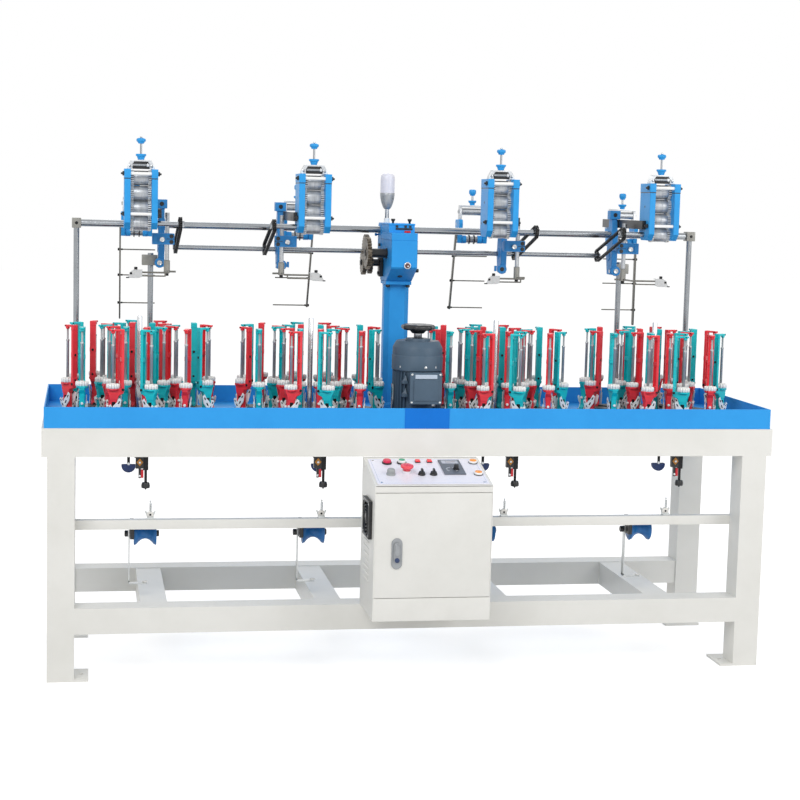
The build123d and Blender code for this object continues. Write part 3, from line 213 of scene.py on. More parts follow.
class Drawing:
    """A mesh in the making. Places and sizes are millimetres from its origin; flip -1 mirrors X."""

    def __init__(self, x=0.0, y=0.0, z=0.0):
        self.bm = bmesh.new()
        self.origin, self.flip = Vector((x, y, z)), 1

    def heads(self, y, heads=HEADS, mirrored=True):
        """Moves the origin from head to head; mirrored, +X is the side of the head's drive."""
        for head_x, side in heads:
            self.origin, self.flip = Vector((head_x, y, 0)), side if mirrored else 1
            yield head_x

    def sides(self):
        """Draws the same at the left and, mirrored, at the right."""
        for self.flip in (-1, 1):
            yield self.flip

    def along(self, v):
        return Vector((self.flip * v[0], v[1], v[2]))

    def at(self, p):
        return self.origin + self.along(p) / 1000

    def skin(self, rings, slot=0, smooth=True, caps=True):
        """Faces over a run of rings in metres that have as many points each."""
        rows = [[self.bm.verts.new(p) for p in r] for r in rings]
        count = len(rows[0])
        for low, high in zip(rows, rows[1:]):
            for i in range(count):
                f = self.bm.faces.new((low[i], low[(i + 1) % count], high[(i + 1) % count], high[i]))
                f.material_index = slot
                f.smooth = smooth
        if caps:
            for row in (rows[0], rows[-1]):
                self.bm.faces.new(row).material_index = slot

    def turned(self, base, axis, profile, sides=24, slot=0, caps=True):
        """A turned shape: profile is (distance along the axis, radius) pairs."""
        axis = self.along(axis).normalized()
        base = self.at(base)
        self.skin([ring(base + axis * d / 1000, axis, max(r, 0.01) / 1000, sides) for d, r in profile], slot,
                  caps=caps)

    def rod(self, a, b, radius, sides=16, slot=0):
        """A round bar between two points with broken edges."""
        length = (Vector(b) - Vector(a)).length
        edge = min(0.4, radius / 3, length / 3)
        self.turned(a, Vector(b) - Vector(a), ((0, radius - edge), (edge, radius), (length - edge, radius),
                                               (length, radius - edge)), sides, slot)

    def slab(self, xs, ys, zs, edge=1.0, slot=0):
        """A block from its reach in X, Y and Z, with small chamfers."""
        ends = [self.at((xs[i], ys[i], zs[i])) for i in (0, 1)]
        low = Vector([min(pair) for pair in zip(*ends)])
        high = Vector([max(pair) for pair in zip(*ends)])
        verts = bmesh.ops.create_cube(self.bm, size=1.0)["verts"]
        for v in verts:
            v.co = (high + low) / 2 + Matrix.Diagonal(high - low) @ v.co
        for f in {f for v in verts for f in v.link_faces}:
            f.material_index = slot
        if edge:
            edges = {e for v in verts for e in v.link_edges}
            done = bmesh.ops.bevel(self.bm, geom=list(edges), offset=min(edge / 1000, min(high - low) / 3),
                                   segments=2, profile=0.7, affect="EDGES", clamp_overlap=True)
            for f in done["faces"]:
                f.material_index = slot
                f.smooth = True

    def prism(self, points, step, edge=0.8, slot=0):
        """A flat shape made thick along a step, its two rims broken by the edge."""
        low = [self.bm.verts.new(self.at(p)) for p in points]
        high = [self.bm.verts.new(v.co + self.along(step) / 1000) for v in low]
        count = len(points)
        caps = [self.bm.faces.new(low[::-1]), self.bm.faces.new(high)]
        walls = [self.bm.faces.new((low[i], low[(i + 1) % count], high[(i + 1) % count], high[i]))
                 for i in range(count)]
        bmesh.ops.recalc_face_normals(self.bm, faces=caps + walls)
        for f in caps + walls:
            f.material_index = slot
        if edge:
            rims = list({e for f in caps for e in f.edges})
            done = bmesh.ops.bevel(self.bm, geom=rims, offset=edge / 1000, segments=1, profile=0.5,
                                   affect="EDGES", clamp_overlap=True)
            for f in done["faces"]:
                f.material_index = slot

    def across(self, points, x, width, y=0.0, edge=0.8, slot=0):
        """A flat shape seen from the side, as (y, z) pairs, made thick along X."""
        self.prism([(x, y + u, v) for u, v in points], (width, 0, 0), edge, slot)

    def facing(self, points, y, depth, edge=0.8, slot=0):
        """A flat shape seen from the front, as (x, z) pairs, made thick along Y."""
        self.prism([(u, y, v) for u, v in points], (0, depth, 0), edge, slot)

    def lobed(self, base, profile, lobes, sides, slot=0):
        """An upright knob with soft lobes: profile is (height, radius, depth of the lobes)."""
        angles = [2 * math.pi * i / sides for i in range(sides)]
        self.skin([[self.at(base) + Vector(((r + w * math.cos(lobes * a)) * math.cos(a),
                                            (r + w * math.cos(lobes * a)) * math.sin(a), z)) / 1000
                    for a in angles] for z, r, w in profile], slot)

    def mesh(self, name):
        bmesh.ops.recalc_face_normals(self.bm, faces=self.bm.faces)
        data = bpy.data.meshes.new(name)
        self.bm.to_mesh(data)
        self.bm.free()
        return data


def enter(name, data, body, replaces, slot):
    """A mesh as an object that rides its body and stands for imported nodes."""
    made = bpy.data.objects.new(name, data)
    bpy.context.scene.collection.objects.link(made)
    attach(made, body)
    if replaces:
        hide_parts(*replaces)


def piece(name, drawing, materials, replaces=(), slot=None, soften=None, body="machine"):
    """A finished piece: its mesh, materials, body and what it stands for; the slot argument is not used."""
    data = drawing.mesh(name)
    for m in materials:
        data.materials.append(m)
    if soften:
        data.set_sharp_from_angle(angle=math.radians(soften))
        for p in data.polygons:
            p.use_smooth = True
    enter(name, data, body, replaces, slot)


# One tree repeats a part at marked places: named inputs for the part and its material.
repeat_tree = bpy.data.node_groups.new("repeat_part", "GeometryNodeTree")
repeat_tree.interface.new_socket("Places", in_out="INPUT", socket_type="NodeSocketGeometry")
for label, kind in (("Part", "NodeSocketObject"), ("Material", "NodeSocketMaterial")):
    repeat_tree.interface.new_socket(label, in_out="INPUT", socket_type=kind)
repeat_tree.interface.new_socket("Made", in_out="OUTPUT", socket_type="NodeSocketGeometry")
given = add_node(repeat_tree, "NodeGroupInput")
shape = add_node(repeat_tree, "GeometryNodeObjectInfo", links={"Object": given.outputs["Part"]})
facing = add_node(repeat_tree, "GeometryNodeInputNamedAttribute", {"Name": "facing"},
                  data_type="FLOAT_VECTOR")
spread = add_node(repeat_tree, "GeometryNodeInstanceOnPoints",
                  links={"Points": given.outputs["Places"], "Instance": shape.outputs["Geometry"],
                         "Rotation": facing.outputs["Attribute"]})
solid = add_node(repeat_tree, "GeometryNodeRealizeInstances", links={"Geometry": spread.outputs[0]})
coated = add_node(repeat_tree, "GeometryNodeSetMaterial",
                  links={"Geometry": solid.outputs[0], "Material": given.outputs["Material"]})
add_node(repeat_tree, "NodeGroupOutput", links={"Made": coated.outputs[0]})


def repeat(name, drawing, places, material, replaces=(), slot=None):
    """The drawing at each (point, turn), made one plain mesh on the machine's fixed body."""
    part = bpy.data.objects.new(name + "_part", drawing.mesh(name + "_part"))
    data = bpy.data.meshes.new(name)
    data.from_pydata([p for p, t in places], [], [])
    mark = data.attributes.new("facing", "FLOAT_VECTOR", "POINT")
    for i, (p, t) in enumerate(places):
        mark.data[i].vector = t
    holder = bpy.data.objects.new(name + "_places", data)
    for made in (holder, part):
        bpy.context.scene.collection.objects.link(made)
    repeater = holder.modifiers.new("repeat", "NODES")
    repeater.node_group = repeat_tree
    given_values = {"Part": part, "Material": material}
    for item in repeat_tree.interface.items_tree:
        if item.in_out == "INPUT" and item.name in given_values:
            repeater[item.identifier] = given_values[item.name]
    bpy.context.view_layer.update()
    plain = bpy.data.meshes.new_from_object(holder.evaluated_get(bpy.context.evaluated_depsgraph_get()))
    for made in (holder, part):
        bpy.data.objects.remove(made)
    plain.name = name
    enter(name, plain, "machine", replaces, slot)


red_nylon = surface("red_moulded_nylon", "#F03440", "#DC2836", 0.38, grain=2.5, patch=40, peel=0.08)
teal_nylon = surface("teal_moulded_nylon", "#00C7CD", "#00AEB8", 0.38, grain=2.5, patch=40, peel=0.08)
white_acetal_and_painted_glint = surface("white_moulded_acetal_and_painted_glint", "#F8F8F5", "#EAEAE6", 0.35, grain=2.0, patch=30, peel=0.08)
ground_steel = surface("ground_steel_rod", "#B9BCBF", "#9A9EA2", 0.34, metal=0.45, grain=1.5, patch=60,
                       peel=0.05, along=(1, 1, 0.08))
black_screw_and_painted_shade = surface("black_oxide_screw_and_painted_shade", "#1B1B1D", "#2A2A2C", 0.42, metal=0.6, grain=1.0,
                      patch=10, peel=0.05)
BLADE_X = 25.2                                   # inner face of the upright blade
LEVER_LEANS = ((1, 1, 1.0), (-1, 1, 1.0), (1, -1, 0.72), (-1, -1, 0.72))   # side, lean, height of each lever


def carrier_body():
    d = Drawing()
    # the foot: flared shoe, narrow waist, and a bracket that widens to the shelf
    foot = ((-21, 0), (21, 0), (20, 6), (13.5, 15), (12.5, 58), (18, 72), (33.5, 80), (33.5, 96), (-20, 96),
            (-20, 84), (-13, 72), (-12.5, 58), (-13.5, 15), (-20, 6))
    d.prism([(u, -8.5, v) for u, v in foot], (0, 17, 0), 1.4)
    for low in (-10.0, 8.2):
        d.prism([(u, low, v) for u, v in ((-12, 60), (12, 60), (17, 73), (24, 79), (-17, 79))],
                (0, 1.8, 0), 0.6)
    # shelf and its round seat
    d.slab((-21, 34.5), (-10, 10), (88.5, 96.5), 1.2)
    d.turned((0, 0, 88), UP, ((0, 14), (3, 19), (8.4, 19)), 16)
    # upright blade, a channel open towards the spindle, with a boss at mid height
    channel = ((25.6, -10), (34, -10), (34, 10), (25.6, 10), (25.6, 7.6), (30.6, 6.8),
               (30.6, -6.8), (25.6, -7.6))
    d.prism([(u, v, 96) for u, v in channel], (0, 0, 182), 0.6)
    d.slab((BLADE_X, 34.6), (-10.8, 10.8), (180, 195), 1.4)
    d.slab((BLADE_X, 34.8), (-10.6, 10.6), (85, 112), 1.6)
    # arm over the spindle with a round end
    arm = [(34, -9.5), (34, 9.5), (22, 9.5), (10, 7.0)]
    arm += [(-3 + 8.2 * math.cos(math.radians(a)), 8.2 * math.sin(math.radians(a)))
            for a in range(70, 291, 20)]
    arm += [(10, -7.0), (22, -9.5)]
    d.prism([(u, v, 278.4) for u, v in arm], (0, 0, 6.2), 0.9)
    d.slab((24.5, 34.8), (-10.4, 10.4), (268, 284.9), 1.6)
    d.turned((0, 0, 271.5), UP, ((0, 5), (1, 6.4), (8, 6.4)), 14)
    return d


def carrier_crown():
    """The toothed crown: a ring of rounded teeth round a hub, and the small cap on the arm."""
    d = Drawing()
    d.turned((0, 0, 96.2), UP, ((0, 12), (0.4, 14.8), (8, 14.8), (10, 12)), 24)
    for k in range(12):
        a = 2 * math.pi * (k + 0.5) / 12
        d.turned((17.2 * math.cos(a), 17.2 * math.sin(a), 96.2), UP,
                 ((0, 3.0), (1.5, 4.2), (9, 4.6), (13, 3.9), (15, 1.8), (15.3, 0.4)), 8)
    d.turned((0, 0, 106), UP, ((0, 8), (6, 8), (7, 6.5)), 12)
    d.turned((-3, 0, 284.2), UP, ((0, 4.2), (0.6, 4.0), (0.8, 1.5)), 10)
    return d


def carrier_levers():
    """Slotted catch levers that stand in a vee on both faces of the foot."""
    d = Drawing()
    outline = ((-18, 1), (-3, 1), (7, 20), (20, 36), (25, 60), (17, 66), (9, 52), (-2, 42), (-9, 24))
    for side, lean, tall in LEVER_LEANS:
        y = side * (10.6 if lean > 0 else 13.8)
        d.prism([(lean * a * tall, y + side * b * 0.04, b * tall) for a, b in outline],
                (0, side * 2.4, 0), 0.5)
    d.turned((-14, 0, 40), (-1, 0, 0.1), ((0, 4.5), (6, 4.5), (7, 3)), 10)
    return d


def carrier_screws():
    """Black screws and pins, the shoe under the foot, and black insets of painted shade for the slots of the
    levers and the windows of the foot.
    """
    d = Drawing()
    d.turned((33.8, 0, 187), RIGHT, ((0, 4.4), (1.0, 4.4), (1.6, 3.0)), 10)
    d.turned((33.8, 0, 104), RIGHT, ((0, 4.0), (1.0, 4.0), (1.4, 3.0)), 10)
    d.turned((30, -12.5, 92), (0, 1, 0), ((0, 3.4), (0.8, 4.4), (24.2, 4.4), (25, 3.4)), 10)
    d.turned((-3, -8.8, 281.5), (0, 1, 0), ((0, 1.6), (0.4, 2.2), (17.2, 2.2), (17.6, 1.6)), 8)
    # the levers' slots are not cut: each is a thin black inset on the lever, painted shade
    slot = ((-3, -6), (3, -6), (3.6, 0), (3, 6), (-3, 6), (-3.6, 0))
    for side, lean, tall in LEVER_LEANS:
        y = side * (12.9 if lean > 0 else 16.1)
        for a, b, size in ((-6, 14, 0.7), (6, 33, 0.8), (16, 52, 0.7)):
            d.prism([(lean * (a + u * size + v * size * 0.5) * tall, y + side * b * 0.04,
                      (b + v * size) * tall) for u, v in slot], (0, side * 0.4, 0), 0.0)
    # the foot's windows are thin black sheets on its faces, painted shade
    for low in (-8.6, 8.0):
        d.slab((-6.2, 6.2), (low, low + 0.6), (20, 54), 0.2)
    d.turned((0, 0, 0), UP, ((0, 9), (2, 9)), 8)
    return d


def carrier_spindle():
    """The spindle: a thick lower sleeve, its collar, and the thin rod up to the arm."""
    d = Drawing()
    d.turned((0, 0, 112.5), UP, ((0, 4.7), (118, 4.7), (119, 5.8), (124, 5.8), (125, 3.3), (161, 3.3)), 14)
    return d


TRACK_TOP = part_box("track_plates")[1].z
RING_R, TRACK_SWING = 0.180, 0.055               # of the horn gears' centres, and of the track about them
PLACES, FIRST_ANGLE = 12, 7.5                    # on each track, and the first one's angle in degrees
OUT_TURN, IN_TURN = 128, 162                     # how far a carrier faces away from its ray
red_places, teal_places = [], []
for head_x, side in HEADS:
    for i in range(PLACES):
        angle = FIRST_ANGLE + 360 / PLACES * i
        for out, swing in ((1, OUT_TURN), (-1, IN_TURN)):
            r = RING_R + out * TRACK_SWING
            spot = (head_x + r * math.cos(math.radians(angle)),
                    HEAD_Y + r * math.sin(math.radians(angle)), TRACK_TOP)
            red = (i % 2 == 0) == (out == 1)
            turn = math.radians(angle + swing if red else angle - swing)
            (red_places if red else teal_places).append((spot, (0, 0, turn)))
all_places = red_places + teal_places
repeat("red_carrier_bodies", carrier_body(), red_places, red_nylon, ["carriers_red"], "red_paint")
repeat("teal_carrier_bodies", carrier_body(), teal_places, teal_nylon, ["carriers_teal"], "teal_paint")
repeat("carrier_spindle_rods", carrier_spindle(), all_places, ground_steel,
       ["carrier_spindles"], "bright_steel")
repeat("carrier_crown_teeth", carrier_crown(), all_places, white_acetal_and_painted_glint)
repeat("carrier_catch_levers", carrier_levers(), all_places, white_acetal_and_painted_glint)
repeat("carrier_screws", carrier_screws(), all_places, black_screw_and_painted_shade)

# ---------------------------------------------------------------- table
# Deck and rim: a blue steel tray on the ivory frame, with a darker blue plate in front of the motor.
# The enamel is satin, with a soft bloom in wide patches.
blue_enamel = surface("sky_blue_enamel", "#36A0EA", "#2C90DC", 0.42, grain=4, patch=180,
                      peel=0.07, gloss=0.15)
deep_blue = surface("deep_blue_enamel", "#0C74D4", "#0A68C2", 0.42, grain=4, patch=120, peel=0.06, gloss=0.2)
cast_blue = surface("blue_painted_casting", "#3189CC", "#2676B4", 0.44, grain=2.5, patch=60,
                    peel=0.35, gloss=0.35)
zinc = surface("zinc_plated_steel", "#C3C6C6", "#A4A7A5", 0.33, metal=0.9, grain=1.5, patch=25, peel=0.08)
dark_cast = surface("blackened_casting", "#26282B", "#3A3B3C", 0.48, metal=0.35, grain=2.0,
                    patch=30, peel=0.3)
painted_shade_and_black_mould = surface("black_moulding", "#17181A", "#232426", 0.36, grain=1.2, patch=30, peel=0.12)
dress("table_deck", blue_enamel)
dress("track_plates", dark_cast)
dress("horn_gears", dark_cast)
(x0, y0, z0), (x1, y1, z1) = [corner * 1000 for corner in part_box("table_rim")]
RIM_SHEET, TAB_DEPTH = 4, 2
y0 += TAB_DEPTH
d = Drawing()
for xs, ys in (((x0, x1), (y0, y0 + RIM_SHEET)), ((x0, x1), (y1 - RIM_SHEET, y1)),
               ((x0, x0 + RIM_SHEET), (y0 + RIM_SHEET, y1 - RIM_SHEET)),
               ((x1 - RIM_SHEET, x1), (y0 + RIM_SHEET, y1 - RIM_SHEET))):
    d.slab(xs, ys, (z0, z1), 0.8)
d.slab((-53, 93), (y0 - TAB_DEPTH, y0), (z0, z1), 0.5, 1)
piece("table_rim_sheet", d, (blue_enamel, deep_blue), ["table_rim"], "blue_paint")

# ---------------------------------------------------------------- heads
# The core tube in the middle of each head: polished steel with a rolled lip, fixed in the deck.
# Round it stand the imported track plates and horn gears, in blackened iron.
polished_steel = surface("polished_steel_tube", "#D9DBDD", "#B9BCBF", 0.12, metal=1.0, grain=2,
                         patch=50, peel=0.02)
d = Drawing()
for _ in d.heads(HEAD_Y):
    d.turned((0, 0, 0), UP, ((702, 6.2), (700.5, 8.5), (1136, 8.8), (1139.2, 7.6), (1138, 6), (1100, 5.8)),
             24, caps=False)
piece("core_tube_polished", d, (polished_steel,), ["core_tubes"], "bright_steel", 30)

# ---------------------------------------------------------------- column and gearbox
# Cast column, gearbox and head block in blue enamel, bolted to the deck by the column's square foot.
# They carry a lid line, a sight glass, plugs, bolts and a black clasp bar.
dark_red = surface("dark_red_glass", "#5A1410", "#3A0C0A", 0.08, grain=3, patch=20, peel=0.0, coat=1.0)
red_label = surface("red_enamel_tab", "#D8202C", "#C41A26", 0.35, grain=2, patch=20, peel=0.03)
# Centres of the column, the cross tube and the line shaft, Y from the table's front face.
COLUMN_Y, COLUMN_FOOT = 530, 1000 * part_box("column")[0].z
TUBE_Y, TUBE_Z = 610, 1437
SHAFT_Y, SHAFT_Z = 635, 1360
d = Drawing(0, FRONT)
d.slab((-60, 60), (COLUMN_Y - 56, COLUMN_Y + 56), (COLUMN_FOOT, COLUMN_FOOT + 15), 2.5)


def octagon(z, half_x, half_y, cut):
    points = []
    for sx, sy in ((1, 1), (-1, 1), (-1, -1), (1, -1)):
        pair = ((half_x, half_y - cut), (half_x - cut, half_y))
        points += [d.at((sx * u, COLUMN_Y + sy * v, z)) for u, v in pair[::sx * sy]]
    return points


d.skin([octagon(COLUMN_FOOT + 14.8, 47, 39, 16), octagon(COLUMN_FOOT + 22, 43, 35, 16),
        octagon(1245, 43, 35, 16), octagon(1250.2, 44.5, 36, 14)], smooth=False)
d.slab((-45, 45), (COLUMN_Y - 59, COLUMN_Y + 51), (1250, 1262), 2)
piece("column_casting", d, (blue_enamel,), ["column"], "blue_paint")

NEAR, FAR, BLOCK_FAR = 375, 590, 655             # faces of the gearbox, and the back of its head block
LID_Z, CAP_Z = 1405, 1461.5
BOX_SIDE = ((NEAR + 5, 1308), (NEAR + 98, 1262.5), (FAR, 1262.5), (FAR, LID_Z - 0.8), (NEAR, LID_Z - 0.8),
            (NEAR, 1314))
HEAD_BLOCK = ((FAR - 1, 1311), (BLOCK_FAR - 2, 1331), (BLOCK_FAR, 1338), (BLOCK_FAR, 1446),
              (BLOCK_FAR - 14, CAP_Z), (FAR - 1, CAP_Z))
d = Drawing(0, FRONT)
for outline, stations in ((BOX_SIDE, (-44.4, -45, 45, 44.4)), (HEAD_BLOCK, (-45.5, 45.5))):
    d.skin([[d.at((x, y, z)) for y, z in outline] for x in stations], smooth=False)
# the lid stands on a thin joint, and the head block rises behind it under its own cap
d.slab((-44.3, 44.3), (NEAR + 0.8, FAR - 1), (LID_Z - 1, LID_Z + 0.2), 0.0)
d.slab((-45, 45), (NEAR, FAR), (LID_Z, 1430), 1.4)
d.slab((-45, 45), (NEAR + 60, FAR), (1429.8, 1456), 1.2)
d.slab((-46.2, 46.2), (NEAR + 58, FAR), (1456, 1461.8), 1.2)
d.slab((-45.3, -44), (NEAR + 12, FAR - 12), (1345, 1349), 0.4)
for x in (-46.1, 45.5):
    d.turned((x, TUBE_Y, TUBE_Z), RIGHT, ((0, 19), (0.6, 19)), 24)
    d.turned((x, SHAFT_Y, SHAFT_Z), RIGHT, ((0, 20), (0.6, 20)), 24)
# sight glass seat, flange bolts, plug under the slope, the bolt at the right and the small tap at the left
GLASS = (11, NEAR - 1.4, 1320)
d.turned((11, NEAR + 0.2, 1320), FORTH, ((0, 13), (1.5, 13), (2, 12)), 24)
for x in (-36, 34):
    d.turned((x, COLUMN_Y - 48, 1250.2), DOWN, ((0, 7.4), (8.0, 7.4), (9.4, 6.0)), 12, 1)
for x in (-52, 52):
    for y in (-46, 46):
        d.turned((x, COLUMN_Y + y, COLUMN_FOOT + 15), UP, ((0, 5.5), (6, 5.5), (7, 4.5)), 6, 1)
d.turned((-3, NEAR + 60, 1281.3), (0, -0.44, -0.9), ((-1, 8.4), (1.6, 8.4), (2.2, 7.2), (1.4, 4.6)), 16, 1)
d.turned((44.8, NEAR + 45, 1302), RIGHT, ((0, 6.8), (12.0, 6.8), (14, 5.2)), 12, 1)
d.turned((-45.3, 600, 1384), LEFT, ((0, 5), (6.5, 5), (7.6, 4)), 6, 1)
d.turned((-45.5, BLOCK_FAR - 10, 1419), LEFT, ((0, 3), (6, 3), (6.5, 5.4), (12, 5.4), (13, 4)), 10)
# black clasp bar with three small knobs on the head block's face, and two wing screws on its cap
d.slab((-21.5, 37), (NEAR + 57.8, NEAR + 60.3), (1440, 1446.2), 0.6, 1)
for x in (-17.6, 12.7, 28.4):
    d.slab((x - 4.2, x + 4.2), (NEAR + 57.2, NEAR + 60.3), (1448, 1455.2), 0.8, 1)
for x in (-29.4, 28.4):
    d.turned((x, NEAR + 72, CAP_Z), UP, ((0, 3.6), (5, 3.6), (7, 4.6), (11, 7.2), (15.5, 7.4), (16, 6)),
             12, 1)
piece("gearbox_casting", d, (blue_enamel, painted_shade_and_black_mould), ["gearbox"], "blue_paint")

d = Drawing(0, FRONT)
d.turned(GLASS, FORTH, ((0, 12.2), (2.4, 12.2), (3.4, 10.6), (2.6, 8.8)), 32)
d.turned(GLASS, FORTH, ((0, 8.8), (2.7, 8.8), (3.1, 6.5), (2.8, 3.5)), 32, 1)
# a small white disc on the glass, off its middle, is a painted highlight
d.turned((13, NEAR - 4.2, 1318), FORTH, ((0, 2.6), (0.3, 2.2)), 16, 2)
piece("sight_glass", d, (polished_steel, dark_red, white_acetal_and_painted_glint))
d = Drawing(0, FRONT)
d.slab((9, 30), (NEAR + 57.2, NEAR + 60.2), (1430.2, 1437.2), 0.3)
piece("gearbox_red_tab", d, (red_label,))

# ---------------------------------------------------------------- signal lamp
# Tube lamp: chromed stem in a white collar, a flared satin silver base, and a milk-white lens.
# It stands on the gearbox's cap.
milk = surface("milk_white_lens", "#E6E6F0", "#DCDCE8", 0.30, grain=4, patch=60, peel=0.03, gloss=0.4)
satin_silver = surface("satin_silver_base", "#A6A9AC", "#93969A", 0.42, metal=0.5, grain=1.5,
                       patch=30, peel=0.05)
d = Drawing(-0.030, FRONT + 0.570, CAP_Z / 1000)
for sides, slot, profile in (
        (28, 1, ((0, 10.5), (5, 10.5), (6, 9.6), (16, 9.6), (17, 8.6))),
        (24, 2, ((16.5, 7.2), (48, 7.2))),
        (36, 3, ((47, 8.5), (50, 12), (56, 15.5), (64, 18.7), (72, 21.4), (84, 24), (94, 25.2), (103, 25.6),
                 (104, 25.2))),
        (36, 0, ((103.8, 24.8), (150, 24.8), (158, 24.4), (164, 22.8), (169, 19), (172.5, 13), (174, 5)))):
    d.turned((0, 0, 0), UP, profile, sides, slot)
d.turned((17, -16, 84), (0.72, -0.66, 0.1), ((-1, 2.4), (0.6, 2.4), (1.0, 1.6)), 10, 4)
piece("signal_lamp_tower", d, (milk, white_acetal_and_painted_glint, polished_steel, satin_silver, painted_shade_and_black_mould),
      ["signal_lamp"], "white_plastic", 35)

# ---------------------------------------------------------------- overhead line
# Plated posts carry a long tube and, below it, the line shaft; grey end blocks clamp the tube.
# The plating is bright and nearly smooth, the castings are dull and a little rough.
plated = surface("bright_plated_tube", "#9EA2A6", "#84888C", 0.20, metal=0.95, grain=2, patch=80, peel=0.03)
turned_alloy = surface("turned_aluminium", "#B9BCBF", "#94989C", 0.30, metal=0.8, grain=1.2,
                       patch=25, peel=0.12)
grey_casting = surface("grey_zinc_casting", "#96958F", "#777670", 0.45, metal=0.5, grain=1.6,
                       patch=20, peel=0.35)
bright_screw = surface("bright_zinc_screw", "#C8CACB", "#9EA2A5", 0.25, metal=0.9, grain=1,
                       patch=8, peel=0.05)
DECK_TOP = 1000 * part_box("table_deck")[1].z
HEAD, POST_Y, END_X = 345, 640, 1097.5           # Y of the heads' middle and of the outer posts, as above
d = Drawing(0, FRONT)
for x in (-END_X, END_X):
    d.rod((x, TUBE_Y, DECK_TOP), (x, TUBE_Y, 1420.5), 9.9, 24)
    d.turned((x, TUBE_Y, DECK_TOP), UP, ((0, 19), (9, 19), (11, 16), (12, 10)), 24, 1)
    d.slab((x - 15.5, x + 15.5), (TUBE_Y - 19.9, TUBE_Y + 19.9), (1420.1, 1453.9), 1.2, 1)
    d.turned((x, TUBE_Y - 19.8, TUBE_Z), FORTH, ((-1, 5.6), (0.15, 5.6), (0.2, 3.6)), 14, 2)
    d.turned((x, TUBE_Y - 14, 1453), UP, ((0, 4), (0.9, 4), (1.0, 3)), 6, 2)
for _ in d.heads(FRONT, (HEADS[0], HEADS[-1])):
    d.rod((45, POST_Y, DECK_TOP), (45, POST_Y, 1337.9), 9.9, 24)
    d.turned((45, POST_Y, DECK_TOP), UP, ((0, 17), (8, 17), (10, 14), (11, 10)), 24, 1)
    d.slab((15, 68), (POST_Y - 21.8, POST_Y + 21.8), (1296.2, 1331.8), 2.0, 1)
piece("line_posts", d, (plated, grey_casting, black_screw_and_painted_shade), ["posts"], "bright_steel", 35)

d = Drawing(0, FRONT)
d.turned((0, TUBE_Y, TUBE_Z), RIGHT, ((-1082, 10.1), (-1082, 11.8), (-1081.5, 12.3), (1081.5, 12.3),
                                      (1082, 11.8), (1082, 10.1)), 28, caps=False)
piece("cross_tube_plated", d, (plated,), ["cross_tube"], "chrome", 35)

# The cast arms: a waisted blade with bosses round the tube and the shaft, and a clamp screw over them.
ARM_SIDE = ((-44, 1293), (10, 1293), (22, 1345), (19, 1392), (0, 1500), (-8, 1520), (-28, 1520), (-49, 1425),
            (-49, 1360))
ARM_ENDS = ((SHAFT_Y - 18, 1502, 13), (SHAFT_Y - 30, 1306, 12))
d = Drawing()
for head_x in d.heads(FRONT):
    d.across(ARM_SIDE, 70, 20, SHAFT_Y, 2.0)
    for y, z, r in ((TUBE_Y, TUBE_Z, 21), (SHAFT_Y, SHAFT_Z, 20)) + ARM_ENDS:
        d.turned((68, y, z), RIGHT, ((0, r - 1.5), (1.5, r), (22.5, r), (24, r - 1.5)), 24)
    for y, z, r in ARM_ENDS:
        d.turned((67, y, z), RIGHT, ((0, 6), (1, 7.5), (25, 7.5), (26, 6)), 6, 1)
    # split clamp block on top and a round boss at the foot, both drilled from the front; the block's hole and
    # the inner heads' boss hole are flat black discs, painted shade
    d.slab((61, 99), (SHAFT_Y - 40, SHAFT_Y - 4), (1492.5, 1523.5), 2.0)
    d.turned((80, SHAFT_Y - 40.2, 1508), FORTH, ((-1, 7.6), (0.1, 7.6), (0.2, 5)), 20, 2)
    foot = (74, SHAFT_Y - 43, 1306.5)
    d.turned(foot, FORTH, ((-6, 15), (0, 17.2), (6, 17.2), (7.6, 15.6)), 28)
    if abs(head_x) > 0.5:
        d.turned(foot, FORTH, ((7, 9), (10, 9), (11.2, 7.6), (10.4, 4.5)), 18, 1)
    else:
        d.turned(foot, FORTH, ((7, 7.6), (7.7, 7.6), (7.8, 5)), 20, 2)
        d.slab((48.5, 55.5), (SHAFT_Y - 47, SHAFT_Y - 33), (1298.5, 1318), 1.2)
piece("unit_arm_castings", d, (cast_blue, bright_screw, painted_shade_and_black_mould), ["unit_arms"], "blue_casting", 35)

# Black flat bars fore and aft, and the blue bracket with its split clamp round the upright rod.
ROD_X, ROD_Y = 92, 445
d = Drawing()
for _ in d.heads(FRONT):
    d.slab((54.5, 68), (HEAD - 20, 790), (1462.2, 1491.8), 1.0, 1)
    for y in (HEAD - 8, HEAD + 180, 700):
        d.turned((67.8, y, 1477), RIGHT, ((0, 6.5), (0.1, 6.5)), 6, 2)
    d.slab((70, 90), (ROD_Y + 12, SHAFT_Y - 50), (1380.5, 1403.5), 2.0)
    d.slab((ROD_X - 50, ROD_X + 24), (ROD_Y - 15.8, ROD_Y + 15.8), (1373.2, 1410.8), 2.2)
    d.slab((ROD_X - 2, ROD_X + 24.2), (ROD_Y - 16, ROD_Y + 16), (1391.2, 1393), 0.0, 1)
    d.slab((ROD_X - 46, ROD_X - 34), (ROD_Y - 17.5, ROD_Y - 15), (1379, 1405), 1.0)
    # two black screw heads, drawn wide enough to take in the shadow round them: real screws with painted
    # shade
    for z in (1382.5, 1401.5):
        d.turned((ROD_X + 14, ROD_Y - 15.7, z), FORTH, ((-1, 7), (1, 7), (1.4, 4)), 16, 1)
    d.turned((ROD_X - 17, ROD_Y - 15.7, 1390), FORTH, ((-2, 8.6), (12, 8.6), (13.4, 7.2), (12.6, 4)), 20, 2)
piece("unit_bracket_clamps", d, (cast_blue, painted_shade_and_black_mould, bright_screw), ["unit_brackets"],
      "black_steel", 35)

